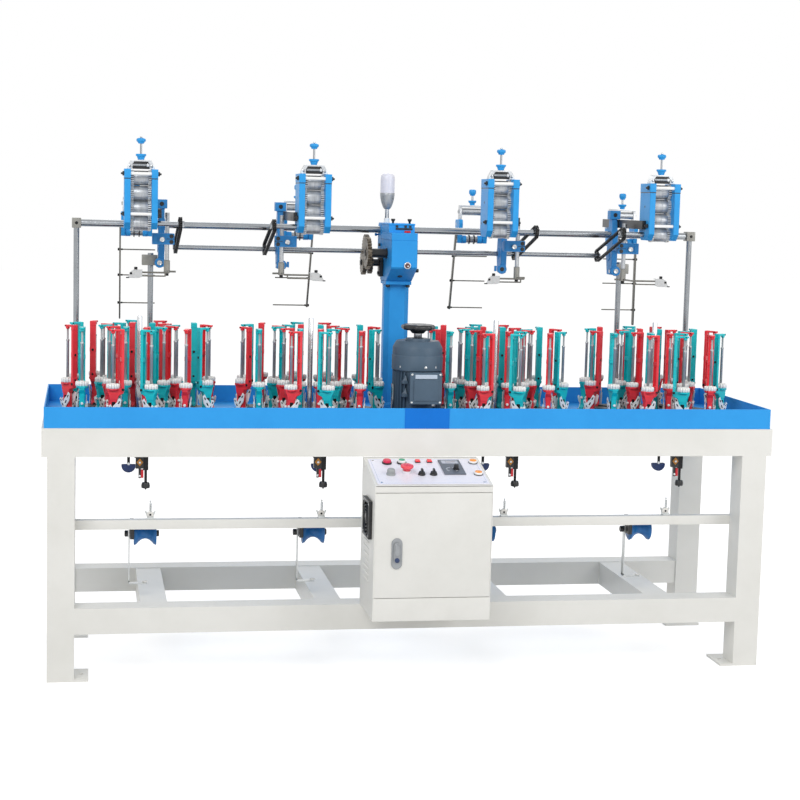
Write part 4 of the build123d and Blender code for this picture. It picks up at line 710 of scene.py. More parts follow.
# Upright rods with grey sleeves, thin cranked rods, and the bent white braid guides with a black knob.
worn_steel = surface("worn_dull_steel", "#77756E", "#5C5A55", 0.40, metal=0.55, grain=1.2, patch=25, peel=0.1)
# the white guides take a grey colour: painted shade that keeps them apart from the pale room
guide_grey_painted_shade = surface("white_guide_painted_grey_shade", "#CBCCCC", "#B7B8B8", 0.36, grain=1.2, patch=10, peel=0.08)
GUIDE_PLATE = ((7, 1290), (-20, 1291), (-30, 1287), (-40, 1268), (-43, 1265), (-36, 1263.5),
               (-5, 1264), (7, 1268))
SLEEVE_Z, THREAD_Z = 1268.5, 1283
CRANKED = (((ROD_X, HEAD - 2.8, THREAD_Z), (ROD_X, ROD_Y, THREAD_Z), 3.0, 10),
           ((ROD_X, ROD_Y, THREAD_Z), (ROD_X + 30, ROD_Y, THREAD_Z), 3.2, 10),
           ((ROD_X, HEAD, THREAD_Z), (-4, HEAD, THREAD_Z), 3.0, 10),
           ((ROD_X - 10, HEAD, 1271.5), (-4, HEAD, 1271.5), 2.4, 8),
           ((ROD_X - 10, HEAD, 1270), (ROD_X - 10, HEAD, 1284.5), 2.4, 8))
d = Drawing()
for _ in d.heads(FRONT):
    d.rod((ROD_X, ROD_Y, 1321.1), (ROD_X, ROD_Y, 1479.9), 7.2, 18)
    d.turned((ROD_X, ROD_Y, SLEEVE_Z), UP, ((9, 6), (9.2, 9.6), (10, 10.4), (51, 10.4), (52.2, 9.2)), 22, 1)
    d.turned((ROD_X, ROD_Y, SLEEVE_Z), UP, ((0, 5.2), (0.8, 6.2), (9.1, 6.2)), 12, 3)
    for near, far, radius, sides in CRANKED:
        d.rod(near, far, radius, sides, 4)
    d.facing(GUIDE_PLATE, HEAD - 6, 3, 0.5, 2)
    d.slab((-22, 8), (HEAD - 6, HEAD + 11), (1289.3, 1291.8), 0.7, 2)
    d.turned((-14, HEAD - 1, 1291.6), UP, ((0, 4.6), (2, 5.6), (8, 5.6), (9, 4.6)), 14, 3)
    d.slab((-46, -36), (HEAD - 6.5, HEAD + 3), (1263.2, 1266.8), 0.7, 3)
    # a thin black sheet on the guide plate's face stands for its slot: painted shade
    d.slab((-34, -26), (HEAD - 6.6, HEAD - 5.8), (1276, 1283), 0.2, 3)
piece("braid_guide_rods", d, (turned_alloy, grey_casting, guide_grey_painted_shade, black_screw_and_painted_shade, worn_steel),
      ["braid_guides"], "bright_steel", 35)

# The line shaft with its sprockets and last change gear turns in the arms and the head block.
greasy_gear = surface("greasy_gear_steel", "#4E4438", "#A69C8C", 0.40, metal=0.6, grain=1.4, patch=9,
                      peel=0.25, patch_share=0.9)
sprocket_steel_and_painted_shade = surface("oiled_sprocket_steel", "#3C3D3F", "#606163", 0.36, metal=0.8, grain=1.2, patch=10,
                         peel=0.15)


def gear(d, centre, teeth, root, tip, width, first, slot=0, hub=None):
    """A spur gear whose face lies at the centre and which grows along +X."""
    x, y, z = centre
    outline = [((i + share) * 2 * math.pi / teeth + first, r) for i in range(teeth)
               for share, r in ((-0.31, root), (-0.15, tip), (0.15, tip), (0.31, root))]
    d.across([(r * math.cos(a), z + r * math.sin(a)) for a, r in outline], x, width, y, 0.0, slot)
    if hub:
        for reach in ((-1.2, 0.1), (width - 0.1, width + 1.2)):
            d.turned(centre, RIGHT, [(x, hub) for x in reach], 24, slot)


# Change-gear centres: the idler stands below the line between the gearbox output and the line shaft.
OUT_Y, OUT_Z, GEAR_REACH = 466, 1358, 92
rise = math.atan2(SHAFT_Z - OUT_Z, SHAFT_Y - OUT_Y)
swing = math.acos(math.hypot(SHAFT_Y - OUT_Y, SHAFT_Z - OUT_Z) / (2 * GEAR_REACH))
IDLER_Y = OUT_Y + GEAR_REACH * math.cos(rise - swing)
IDLER_Z = OUT_Z + GEAR_REACH * math.sin(rise - swing)
TO_IDLER_A = math.atan2(IDLER_Z - OUT_Z, IDLER_Y - OUT_Y)
TO_IDLER_B = math.atan2(IDLER_Z - SHAFT_Z, IDLER_Y - SHAFT_Y)

SPROCKET_OUT = 130                               # from the head's middle
SPROCKET_X = [1000 * head_x + side * SPROCKET_OUT for head_x, side in HEADS]
d = Drawing(0, FRONT)
ends = max(SPROCKET_X) + 9.5
d.rod((-ends, SHAFT_Y, SHAFT_Z), (ends, SHAFT_Y, SHAFT_Z), 8.95, 24)
gear(d, (-97, SHAFT_Y, SHAFT_Z), 28, 52.4, 58.9, 14, TO_IDLER_B, 1, hub=30)
for x in SPROCKET_X:
    gear(d, (x - 2.8, SHAFT_Y, SHAFT_Z), 12, 13.6, 16.5, 5.6, 0.0, 2, hub=11.5)
    d.turned((x + 2.8, SHAFT_Y, SHAFT_Z), RIGHT, ((0, 11.5), (0.6, 11.5), (0.7, 10)), 20, 2)
piece("line_shaft_train", d, (plated, greasy_gear, sprocket_steel_and_painted_shade), ["line_shaft"], "bright_steel", 35,
      body="line_shaft")

# Roller chains: outer and inner links repeated round the loop over both sprockets.
CHAIN_R, CHAIN_PITCH = 19.2, 12.5
CHAIN_LOW = 1000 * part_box("takeup_roller_1")[0].z + 26.1


def chain_link():
    d = Drawing()
    half = [(6.0 + 3.4 * math.cos(a), 3.4 * math.sin(a)) for a in (-1.2, -0.6, 0, 0.6, 1.2)]
    outline = half + [(0, 2.3)] + [(-u, v) for u, v in half[::-1]] + [(0, -2.3)]
    for x in (-6.0, 4.7):
        d.across(outline, x, 1.3, edge=0.0)
    for y in (-6.0, 0.0):
        d.turned((-4.7, y, 0), RIGHT, ((0, 2.8), (9.4, 2.8)), 8)
    return d


def chain_places(x):
    """Up the front run, round the shaft's sprocket, and the same turned about for the way back."""
    run = Vector((SHAFT_Y - HEAD, SHAFT_Z - CHAIN_LOW))
    length, tilt = run.length, math.atan2(run.y, run.x)
    half = length + math.pi * CHAIN_R
    count = int(2 * half / CHAIN_PITCH)
    for i in range(count):
        back, t = divmod(2 * half * i / count, half)
        a = max(t - length, 0) / CHAIN_R
        u, v, turn = min(t, length) + CHAIN_R * math.sin(a), CHAIN_R * math.cos(a), -a
        if back:
            u, v, turn = length - u, -v, math.pi + turn
        y = HEAD + u * math.cos(tilt) - v * math.sin(tilt)
        z = CHAIN_LOW + u * math.sin(tilt) + v * math.cos(tilt)
        yield Vector((x, y, z)) / 1000 + Vector((0, FRONT, 0)), (turn + tilt, 0, 0)


chain_steel = surface("oiled_roller_chain", "#2A2A2B", "#4A4946", 0.40, metal=0.7, grain=0.8,
                      patch=6, peel=0.1)
links = [place for x in SPROCKET_X for place in chain_places(x)]
repeat("drive_chain_links", chain_link(), links, chain_steel, ["drive_chains"], "black_steel")

# ---------------------------------------------------------------- take-up units
# Two thick blue plates hold four stacked rollers with toothed rims; a bright forged yoke, a funnel
# cup and a lobed knob press the top roller down; white tie rods run across the front.
unit_blue = surface("bright_blue_enamel", "#31A0E6", "#2790D4", 0.38, grain=3, patch=50, peel=0.12, gloss=0.3)
PLATE_SIDE = ((-54, 1446), (-30, 1424.5), (30, 1424.5), (54, 1446), (54, 1619.5), (-54, 1619.5))
TIE_Z = (1604.5, 1474)
d = Drawing()
for _ in d.heads(HEAD_Y):
    for _ in d.sides():
        d.across(PLATE_SIDE, 34, 20, edge=1.0)
        # the groove under the cap block, and the block
        d.slab((33.9, 54.1), (-54.1, 54.1), (1587.2, 1590), 0.0, 1)
        d.slab((33.5, 54.5), (-54.6, 54.5), (1590.5, 1619.6), 1.0)
        # nuts of the two tie rods, and flush screws
        for z in TIE_Z:
            d.turned((54, -38, z), RIGHT, ((-1, 7.6), (5.5, 7.6), (7, 6.0)), 6, 1)
            d.turned((54, -38, z), RIGHT, ((6, 3.4), (11, 3.4), (11.6, 2.6)), 10, 1)
        for y, z in ((36, 1603), (36, 1470), (0, 1540)):
            d.turned((54, y, z), RIGHT, ((-1, 4.2), (0.2, 4.2), (0.3, 2.6)), 12, 1)
piece("unit_side_plates", d, (unit_blue, painted_shade_and_black_mould), ["unit_plates"], "blue_paint", 35)

bright_alloy = surface("bright_bead_blasted_alloy", "#D4D6D8", "#B4B7BA", 0.36, metal=0.6, grain=1.2,
                       patch=12, peel=0.15)
CHEEK = ((27, 1620.2), (45, 1620.2), (42, 1632), (34, 1647), (27, 1649), (21, 1645), (29, 1634))
FUNNEL = ((0, 6), (0.6, 10.2), (5, 11.2), (9, 13.0), (11.6, 13.6), (12.6, 16.4), (15, 17), (18.6, 17),
          (19.6, 16), (19.8, 6))
d = Drawing()
for _ in d.heads(HEAD_Y):
    for z in TIE_Z:
        d.rod((-34, -46, z), (34, -46, z), 5.6, 20, 1)
    # yoke: two cheeks that lean in under a thin bridge, a bright shaft before a black block that fills the
    # gaps inside the yoke with painted shade
    for _ in d.sides():
        d.facing(CHEEK, -15.5, 31, 0.8, 2)
        d.turned((35, -15, 1629.5), FORTH, ((-1, 5.0), (1.6, 5.0), (2.2, 3.8)), 14, 3)
        d.slab((36.5, 43.5), (-16.5, -7), (1620.3, 1634), 0.8, 1)
    d.slab((-33, 33), (-15.8, 15.8), (1644.5, 1649.8), 1.2, 2)
    d.slab((-27, 27), (-12, 12), (1620.5, 1644.6), 0.8, 4)
    d.rod((-27, -13, 1633), (16, -13, 1633), 4.6, 16, 3)
    d.turned((22, -11.8, 1633), FORTH, ((0, 6.0), (3.4, 6.0), (4.4, 4.6)), 6, 2)
    # short funnel under its flat disc, and the bright screw
    d.turned((0, 0, 1649.7), UP, FUNNEL, 32)
    d.turned((0, 0, 1668), UP, ((0, 3.6), (34.1, 3.6)), 14, 3)
piece("unit_press_yokes", d, (unit_blue, white_acetal_and_painted_glint, bright_alloy, plated, painted_shade_and_black_mould),
      ["unit_fittings"], "chrome", 35)

PRESS_KNOB = ((0, 5, 0), (0.6, 9.4, 0), (3, 10.2, 0), (5, 11.0, 0.1), (7.5, 13.8, 0.5), (9, 14.6, 0.8),
              (14, 14.6, 0.8), (16.5, 13.2, 0.5), (18, 10.4, 0.1), (18.6, 5, 0))
for k, (head_x, side) in enumerate(HEADS, 1):
    d = Drawing(head_x, HEAD_Y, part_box("press_knob_1")[0].z)
    d.lobed((0, 0, 0), PRESS_KNOB, 8, 48)
    d.turned((0, 0, 18.4), UP, ((0, 3.2), (1.6, 4.2), (4.2, 4.2), (5.8, 3.0), (6.2, 1.2)), 14, 1)
    name = f"press_knob_{k}"
    piece(name + "_lobed", d, (unit_blue, bright_screw), [name], "blue_paint", 40, body=name)

# The rollers: turned aluminium cores between rims with square teeth that mesh one above the other.
roller_skin = surface("scored_roller_alloy", "#A6A9AC", "#C6C8CA", 0.38, metal=0.7, grain=1.0, patch=12,
                      peel=0.25, along=(1, 0.3, 0.3), patch_share=0.8)
tooth_alloy = surface("bright_toothed_rim", "#F0EFEB", "#DCDAD4", 0.38, metal=0.2, grain=1.0,
                      patch=8, peel=0.15)
TEETH, RIM_WIDTH, RIM_OUT = 24, 10.2, 33.7
ROLLER_LOW, ROLLER_PITCH = 1444, 49
ROLLER = ((0, 21), (0.2, 23.6), (2, 24.1), (22.8, 24.1), (23.3, 23.5), (23.9, 23.5), (24.4, 24.1),
          (45.2, 24.1), (47.0, 23.6), (47.2, 21))


def toothed_rim(d, x, z, first):
    """A rim whose square teeth, a little narrower than their gaps, mesh with the rim above."""
    outline = [(first + (i + share) * 2 * math.pi / TEETH, r) for i in range(TEETH)
               for share, r in ((-0.26, 21.2), (-0.22, 25.6), (0.22, 25.6), (0.26, 21.2))]
    d.across([(r * math.cos(a), z + r * math.sin(a)) for a, r in outline], x, RIM_WIDTH, edge=0.0, slot=1)
    # the gaps have a dark floor, painted shade between the teeth
    d.turned((x + 0.1, 0, z), RIGHT, ((0, 21.9), (RIM_WIDTH - 0.2, 21.9)), 48, 3)


for level in range(4):
    z = ROLLER_LOW + ROLLER_PITCH * level
    first = math.pi / 2 + (math.pi / TEETH if level % 2 else 0.0)
    d = Drawing()
    for _ in d.heads(HEAD_Y):
        for x in (-RIM_OUT, RIM_OUT - RIM_WIDTH):
            toothed_rim(d, x, z, first)
        d.turned((-23.6, 0, z), RIGHT, ROLLER, 36)
        if level == 0:
            d.rod((RIM_OUT, 0, z), (140, 0, z), 7.9, 18, 2)
            gear(d, (SPROCKET_OUT - 2.8, 0, z), 12, 13.6, 16.5, 5.6, 0.1, 3, hub=11.5)
            d.turned((134, 0, z), RIGHT, ((0, 12), (2.6, 12), (2.7, 10.6), (8.6, 10.6), (9.6, 8.8)), 6, 2)
    name = f"takeup_roller_{level + 1}"
    piece(name + "_turned", d, (roller_skin, tooth_alloy, plated, sprocket_steel_and_painted_shade), [name],
          "aluminium", 35, body=name)

# ---------------------------------------------------------------- rear guide units
# Blue side plates behind the tube, a bright yoke with its pressing roller, and a screw on a bridge.
# The black flat bars carry one such unit behind each head.
REAR_Y = FRONT + 0.770
PRESS_Z, GUIDE_Z = 1506, 1406                    # of the pressing and the guide rollers
REAR_SIDE = ((-34.5, 1455), (-18, 1392.5), (18, 1392.5), (34.5, 1455), (34.5, 1470), (29, 1478), (-29, 1478),
             (-34.5, 1470))
REAR_CHEEK = ((-14, 1477.5), (14, 1477.5), (14, 1512), (9, 1523), (-9, 1523), (-14, 1512))
REAR_KNOB = ((1564.2, 5, 0), (1565, 8.4, 0), (1568, 9.4, 0.1), (1573, 12.4, 0.7), (1583, 12.6, 0.7),
             (1586.6, 10, 0.2), (1587.8, 5, 0))
d = Drawing()
for _ in d.heads(REAR_Y):
    for _ in d.sides():
        d.across(REAR_SIDE, 40, 14, edge=1.0)
        d.across(REAR_CHEEK, 40, 9, edge=0.8, slot=2)
        d.turned((49, 0, PRESS_Z), RIGHT, ((-1, 7), (3.4, 7), (4.4, 5.6)), 6, 1)
        d.turned((54, 0, GUIDE_Z), RIGHT, ((-1, 9), (0.0, 9), (0.1, 7)), 16, 1)
        d.turned((54, 20, 1460), RIGHT, ((-1, 6), (0.0, 6), (0.1, 4)), 6, 1)
    d.slab((-48.5, 48.5), (-11.8, 11.8), (1522.2, 1529.8), 1.2, 2)
    d.turned((0, 0, 1529.6), UP, ((0, 7), (1, 8.6), (7, 9.4), (11.5, 14.2), (13, 14.8), (17, 14.8),
                             (18, 13)), 24)
    d.turned((0, 0, 1541.5), UP, ((0, 4.3), (23, 4.3)), 12, 1)
    d.lobed((0, 0, 0), REAR_KNOB, 8, 40)
piece("rear_unit_plates", d, (unit_blue, bright_screw, bright_alloy), ["rear_units"], "blue_casting", 35)

ROLL_START = -39.7
d = Drawing()
for _ in d.heads(REAR_Y):
    d.turned((ROLL_START, 0, PRESS_Z), RIGHT, ((0, 11), (0.8, 12.7), (78.6, 12.7), (79.4, 11)), 24)
piece("rear_press_rolls", d, (turned_alloy,), ["rear_press_rollers"], "chrome", 35, body="rear_press_rollers")
d = Drawing()
for _ in d.heads(REAR_Y, mirrored=False):
    # a plated middle, blue collars at both ends and two dark rings
    d.turned((ROLL_START, 0, GUIDE_Z), RIGHT, ((18.4, 12.8), (61.0, 12.8)), 28)
    for start in (0, 60.4):
        d.turned((ROLL_START + start, 0, GUIDE_Z), RIGHT, ((0, 12), (0.8, 14.6), (18.2, 14.6), (19, 12)),
                 28, 1)
    for start in (28.6, 46.6):
        d.turned((ROLL_START + start, 0, GUIDE_Z), RIGHT, ((0, 12.5), (0.2, 16.2), (1, 17.2), (3.4, 17.2),
                                                           (4.2, 16.2), (4.4, 12.5)), 28, 2)
piece("rear_guide_rolls", d, (plated, unit_blue, sprocket_steel_and_painted_shade), ["rear_guide_rollers"], "chrome", 35,
      body="rear_guide_rollers")

# Ladder guides: a flat dull strip with rounded ends and three thin rods held by black nuts.
STRIP_TOP = 1439.8
d = Drawing()
for head_x in d.heads(REAR_Y):
    # the inner strips are shorter and lean to the left
    foot, lean = (1150, -18 * d.flip) if abs(head_x) < 0.5 else (1100.2, 0)
    strip = ((-5, foot, 1), (5, foot, 1), (7.8, foot + 4, 1), (7.8, 1436, 0), (5, STRIP_TOP, 0),
             (-5, STRIP_TOP, 0), (-7.8, 1436, 0), (-7.8, foot + 4, 1))
    d.prism([(-59.8 + lean * low, y, z) for y, z, low in strip], (5.6, 0, 0), 0.5)
    for z in (1345, 1255, 1157):
        x = -54 + lean * (STRIP_TOP - z) / 289.8
        d.rod((x, 0, z), (x + 119.8, 0, z), 2.3, 10)
        d.turned((x + 1, 0, z), RIGHT, ((0, 3.4), (5, 3.4), (5.5, 2)), 6, 1)
        d.turned((x - 5.2, 0, z), LEFT, ((0, 5.0), (5, 5.0), (6, 3.6)), 6, 1)
piece("ladder_guide_strips", d, (worn_steel, black_screw_and_painted_shade), ["ladder_guides"], "bright_steel", 35)

# ---------------------------------------------------------------- change gears
# Greasy steel gears on the left of the gearbox: output gear, compound idler on its swing bracket.
# Grease darkens them in patches; the black bracket is bolted to the gearbox.
OUTER_X, INNER_X, HUB_X = -119, -97, -119.6
d = Drawing(0, FRONT)
gear(d, (OUTER_X, OUT_Y, OUT_Z), 26, 48.4, 54.9, 14, TO_IDLER_A, hub=24)
piece("output_gear_cut", d, (greasy_gear,), ["driver_gear"], "bright_steel", 35, body="driver_gear")
d = Drawing(0, FRONT)
gear(d, (OUTER_X, IDLER_Y, IDLER_Z), 20, 36.4, 42.9, 14, TO_IDLER_A + math.pi + math.pi / 20)
gear(d, (INNER_X, IDLER_Y, IDLER_Z), 18, 32.4, 38.9, 14, TO_IDLER_B + math.pi + math.pi / 18)
d.turned((-105.5, IDLER_Y, IDLER_Z), RIGHT, ((0, 20), (9, 20)), 24)
piece("idler_gear_pair", d, (greasy_gear,), ["idler_gear"], "bright_steel", 35, body="idler_gear")

d = Drawing(0, FRONT)
d.turned((-45, OUT_Y, OUT_Z), LEFT, ((0, 18), (4, 18), (5, 15.8), (58, 15.8), (59.5, 13), (59.7, 7.8),
                                     (77, 7.8), (78, 6.8)), 24)
d.turned((HUB_X, OUT_Y, OUT_Z), LEFT, ((-0.2, 7), (0, 12), (2.5, 12), (3, 10)), 6, 1)
BRACKET = [(22 * math.cos(math.radians(a)), 22 * math.sin(math.radians(a))) for a in range(-20, 201, 20)]
d.across([(u, IDLER_Z + v) for u, v in BRACKET + [(-15, -48), (15, -48)]], -58.8, 13.6, IDLER_Y, 1.5)
d.turned((-58.8, IDLER_Y, IDLER_Z), LEFT, ((0, 16), (1, 12.8), (22.5, 12.8), (23.6, 11), (24, 6.8), (62, 6.8),
                                           (66, 6.0)), 20)
d.turned((HUB_X, IDLER_Y, IDLER_Z), LEFT, ((-0.2, 7), (0, 11), (3, 11), (4, 9)), 6, 1)
d.turned((-59, IDLER_Y, IDLER_Z - 36), LEFT, ((-1, 7), (3, 7), (4, 5)), 6, 1)
piece("gear_bracket_black", d, (painted_shade_and_black_mould, sprocket_steel_and_painted_shade), ["gear_carrier"], "black_steel", 35)

# ---------------------------------------------------------------- motor
# Finned cast motor in slate enamel: flange, upright fins, stepped fan cowl, and a boxed terminal cover.
# It stands upright on the deck by its round flange.
slate = surface("slate_grey_enamel", "#4A5E70", "#3E5060", 0.44, grain=2, patch=50, peel=0.2, gloss=0.35)
pale_strip = surface("pale_blank_strip", "#B9C6D6", "#A9B7C8", 0.35, grain=2, patch=20, peel=0.03)
MOTOR_X, MOTOR_Y, FINS = 0.008, FRONT + 0.140, 36
COWL = ((-1, 76), (0, 82.6), (0.8, 83.6), (46, 83.8), (48, 83.0), (49, 82.2), (73, 81.8), (76, 80.5),
        (92, 71.5), (95, 69), (95.4, 66), (93.5, 60), (94, 42), (102.6, 40), (102.8, 20), (97, 14.5))
d = Drawing(MOTOR_X, MOTOR_Y)
d.turned((0, 0, DECK_TOP), UP, ((0, 84), (1, 84.6), (12, 84.6), (14, 82), (15, 72), (20, 72), (171, 72)), 48)
for i in range(FINS):
    a = 2 * math.pi * i / FINS
    if abs(math.sin(a) + 1) < 0.16:              # no fins behind the terminal box
        continue
    out, wide = Vector((math.cos(a), math.sin(a), 0)), Vector((-math.sin(a), math.cos(a), 0))
    foot = out * 70 + Vector((0, 0, DECK_TOP + 16))
    d.prism([foot + out * u + wide * v for u, v in ((0, -1.5), (11, -0.9), (11, 0.9), (0, 1.5))],
            (0, 0, 152), 0.0)
d.turned((0, 0, 989), UP, COWL, 56)
for k in range(4):
    a = math.radians(37 + 90 * k)
    d.turned((83.2 * math.cos(a), 83.2 * math.sin(a), 1001), (math.cos(a), math.sin(a), 0),
             ((-1, 4.4), (0, 4.4), (0.7, 3)), 12, 1)
d.turned((13, -82.8, 1001), (0.16, -1, 0), ((-1, 5), (0, 5), (0.8, 3.4)), 14, 1)
# terminal box: body, raised lid, corner screws and the blank strip
BOX_X, BOX_Y = 9, -120
for half, near, far, low, high, edge, slot in ((50, 12, 50, 887, 987, 4, 0),
                                               (52.8, 4, 14, 885.5, 988.5, 2.5, 0),
                                               (40, 0.4, 6, 897, 966, 3.5, 0),
                                               (36, 2.8, 4.2, 969, 982, 0.3, 2)):
    d.slab((BOX_X - half, BOX_X + half), (BOX_Y + near, BOX_Y + far), (low, high), edge, slot)
for u in (-46.5, 46.5):
    for z in (891.5, 982.5):
        d.turned((BOX_X + u, BOX_Y + 4.2, z), FORTH, ((-1, 3.6), (1.4, 3.6), (2, 2.6)), 10, 3)
for z in (905, 948):
    d.slab((-62, -44), (-78, -56), (z, z + 10), 2)
    d.prism([(-60, -70, z + 10), (-46, -74, z + 10), (-49, -66, z + 28)], (0, 6, 0), 0.0)
d.turned((BOX_X + 28, -95, 887.5), DOWN, ((0, 9), (9, 9), (10, 7)), 12, 4)
# bare steel strip over the fins at the left
d.slab((-83.8, -81.5), (-22, 6), (842, 942), 0.4, 4)
piece("motor_finned", d, (slate, bright_screw, pale_strip, zinc, plated), ["motor"], "slate_paint", 35)

# Lobed black handwheel on a turned steel hub.
wheel_black = surface("black_bakelite_wheel", "#1B1C1E", "#2C2D2F", 0.30, grain=2, patch=30, peel=0.15)
WHEEL = ((27, 28, 0), (26.5, 40, 0), (26.4, 47, 0.4), (29, 52, 1.8), (34, 54.6, 2.8), (39, 54.2, 2.8),
         (43, 51, 1.8), (45, 46, 0.5), (44, 38, 0), (41, 30, 0), (40.5, 16, 0), (43, 12, 0), (43.4, 4, 0))
d = Drawing(MOTOR_X, MOTOR_Y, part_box("handwheel")[0].z)
d.turned((0, 0, 0), UP, ((0, 13), (0.5, 13.5), (17, 13.5)), 24, 1)
d.turned((0, 0, 0), UP, ((15, 17), (16, 20), (20, 23.5), (27, 30), (30, 31)), 32)
d.lobed((0, 0, 0), WHEEL, 7, 84)
piece("handwheel_lobed", d, (wheel_black, turned_alloy), ["handwheel"], "black_plastic", 45, body="handwheel")

# ---------------------------------------------------------------- cabinet
# Folded sheet cabinet in front of the frame, sprayed off-white: side sheets, desk, back and a recessed
# door. The powder coat has a fine orange peel.
cabinet_paint = surface("off_white_powder_coat", "#E5E4DF", "#DAD9D3", 0.40, grain=3, patch=160, peel=0.14)
CAB_X, CAB_Y, CAB_DEPTH, SHEET = 187, FRONT - 0.240, 252, 3
CAB_FOOT = 1000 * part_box("cabinet_body")[0].z
DESK_LOW, DESK_HIGH, DESK_END = 664, 716, 226    # heights of the desk's slope, and the depth of its end
FAN_Y, FAN_Z = 103, 547
d = Drawing(0, CAB_Y)
d.across(((0, CAB_FOOT), (0, DESK_LOW), (DESK_END, DESK_HIGH), (CAB_DEPTH, DESK_HIGH), (CAB_DEPTH, CAB_FOOT)),
         CAB_X - SHEET, SHEET)
# the left sheet has the fan's round opening, so it is made as panels round a ring
HOLE_R = 56
d.turned((-CAB_X, FAN_Y, FAN_Z), RIGHT, ((0, HOLE_R), (SHEET, HOLE_R)), 32, caps=False)
for ys, zs in (((0, CAB_DEPTH), (CAB_FOOT, 487)), ((0, CAB_DEPTH), (607, DESK_LOW)), ((0, 43), (487, 607)),
               ((163, CAB_DEPTH), (487, 607))):
    d.slab((-CAB_X, -CAB_X + SHEET), ys, zs, 0.0)
# one panel in each corner of the opening; the first one's arc has its first point last
for k, (sy, sz) in enumerate(((1, 1), (-1, 1), (-1, -1), (1, -1))):
    arc = [math.radians(90 * k + 11.25 * i) for i in (range(9) if k else (*range(1, 9), 0))]
    d.across([(60 * sy, FAN_Z + 60 * sz)] + [(HOLE_R * math.cos(a), FAN_Z + HOLE_R * math.sin(a))
                                             for a in arc], -CAB_X, SHEET, FAN_Y, 0.0)
d.across(((0, DESK_LOW), (DESK_END, DESK_HIGH), (CAB_DEPTH, DESK_HIGH), (CAB_DEPTH, DESK_LOW)), -CAB_X, SHEET,
         edge=0.0)
# the front strips, the desk and the top lie a seam's depth inside the side sheets
SEAM = 0.4
IN_X = CAB_X - SEAM
d.slab((-IN_X, IN_X), (SEAM, 14), (641.5, 663.6), 1.2)
d.slab((-IN_X, IN_X), (SEAM, 14), (CAB_FOOT + SEAM, 308.5), 1.2)
d.slab((1 - CAB_X, CAB_X - 1), (14, 250), (CAB_FOOT + SEAM, CAB_FOOT + SHEET), 0.5)
d.slab((1 - CAB_X, CAB_X - 1), (249, CAB_DEPTH - SEAM), (CAB_FOOT + SEAM, 715.5), 0.5)
d.across(((SEAM, 661 - SEAM), (SEAM, DESK_LOW - SEAM), (DESK_END, DESK_HIGH - SEAM), (DESK_END, 713 - SEAM)),
         -IN_X, 2 * IN_X, edge=0.9)
d.slab((-IN_X, IN_X), (225, CAB_DEPTH - SEAM), (713, DESK_HIGH - SEAM), 0.9)
# folded lips round the door's recess
DOOR_Z = (308.5, 641.5)
for xs, ys, zs in (((-186.6, -160), (14.2, 17), DOOR_Z), ((182, 186.6), (14.2, 17), DOOR_Z),
                   ((-186.2, 186.2), (14.2, 17), (308.5, 322)), ((-186.2, 186.2), (14.2, 17), (630, 641.5)),
                   ((-186.4, -184.5), (0.8, 16), DOOR_Z), ((184.5, 186.4), (0.8, 16), DOOR_Z)):
    d.slab(xs, ys, zs, 0.3)
piece("cabinet_sheets", d, (cabinet_paint,), ["cabinet_body"], "frame_paint", 35)

# Pressed louvres, half lenses that open downwards, in both side sheets. They are drawn standing out
# along -X, and turned about for the right sheet.
LENS = ((0.0, 9.5), (1.6, 7.5), (3.2, 4.2), (3.9, 0.6), (3.2, 0.2), (0.0, 0.2))
d = Drawing()
d.skin([[d.at((-share * u, y, z)) for u, z in LENS]
        for y, share in ((-50, 0.0), (-46, 0.7), (-38, 1.0), (38, 1.0), (46, 0.7), (50, 0.0))], caps=False)
louvre_places = [((way * CAB_X / 1000, CAB_Y + 0.140, 0.340 + 0.020 * k), (0, 0, turn))
                 for k in range(7) for way, turn in ((-1, 0), (1, math.pi))]
repeat("cabinet_louvres", d, louvre_places, cabinet_paint)

# The door: one folded panel with rolled edges; a zinc swing lock with a dark blue key barrel.
lock_zinc = surface("matt_zinc_lock_casting", "#9A9DA0", "#85888C", 0.42, metal=0.55, grain=1.5,
                    patch=30, peel=0.1)
lock_blue = surface("dark_blue_lock_barrel", "#2A3C63", "#1E2C4C", 0.32, grain=1.5, patch=15, peel=0.05)
LOCK_X = -115


def stadium(half_w, half_h, mid_z):
    return [(LOCK_X + half_w * math.cos(a), mid_z + way * (half_h - half_w) + half_w * math.sin(a))
            for way, start in ((1, 0), (-1, 180)) for a in [math.radians(start + 22.5 * k) for k in range(9)]]


d = Drawing(0, CAB_Y)
d.slab((-184, 184), (0.2, 13.6), (310, 640), 2.4)
d.facing(stadium(17, 49, 451), 0, -3.9, 1.2, 1)
piece("cabinet_door_panel", d, (cabinet_paint, lock_zinc), ["cabinet_door"], "frame_paint", 35, body="door")
d = Drawing(0, CAB_Y)
d.facing(stadium(10.8, 32.8, 454), -4.4, -6, 2.0)
d.facing(stadium(7.6, 19, 462), -10, -3.2, 1.4)
d.turned((LOCK_X, -10, 431.5), FORTH, ((0, 7.8), (2.4, 7.8), (3.1, 6.6)), 20, 1)
piece("swing_lock_lever", d, (lock_zinc, lock_blue), ["lock_lever"], "chrome", 35, body="lock_lever")

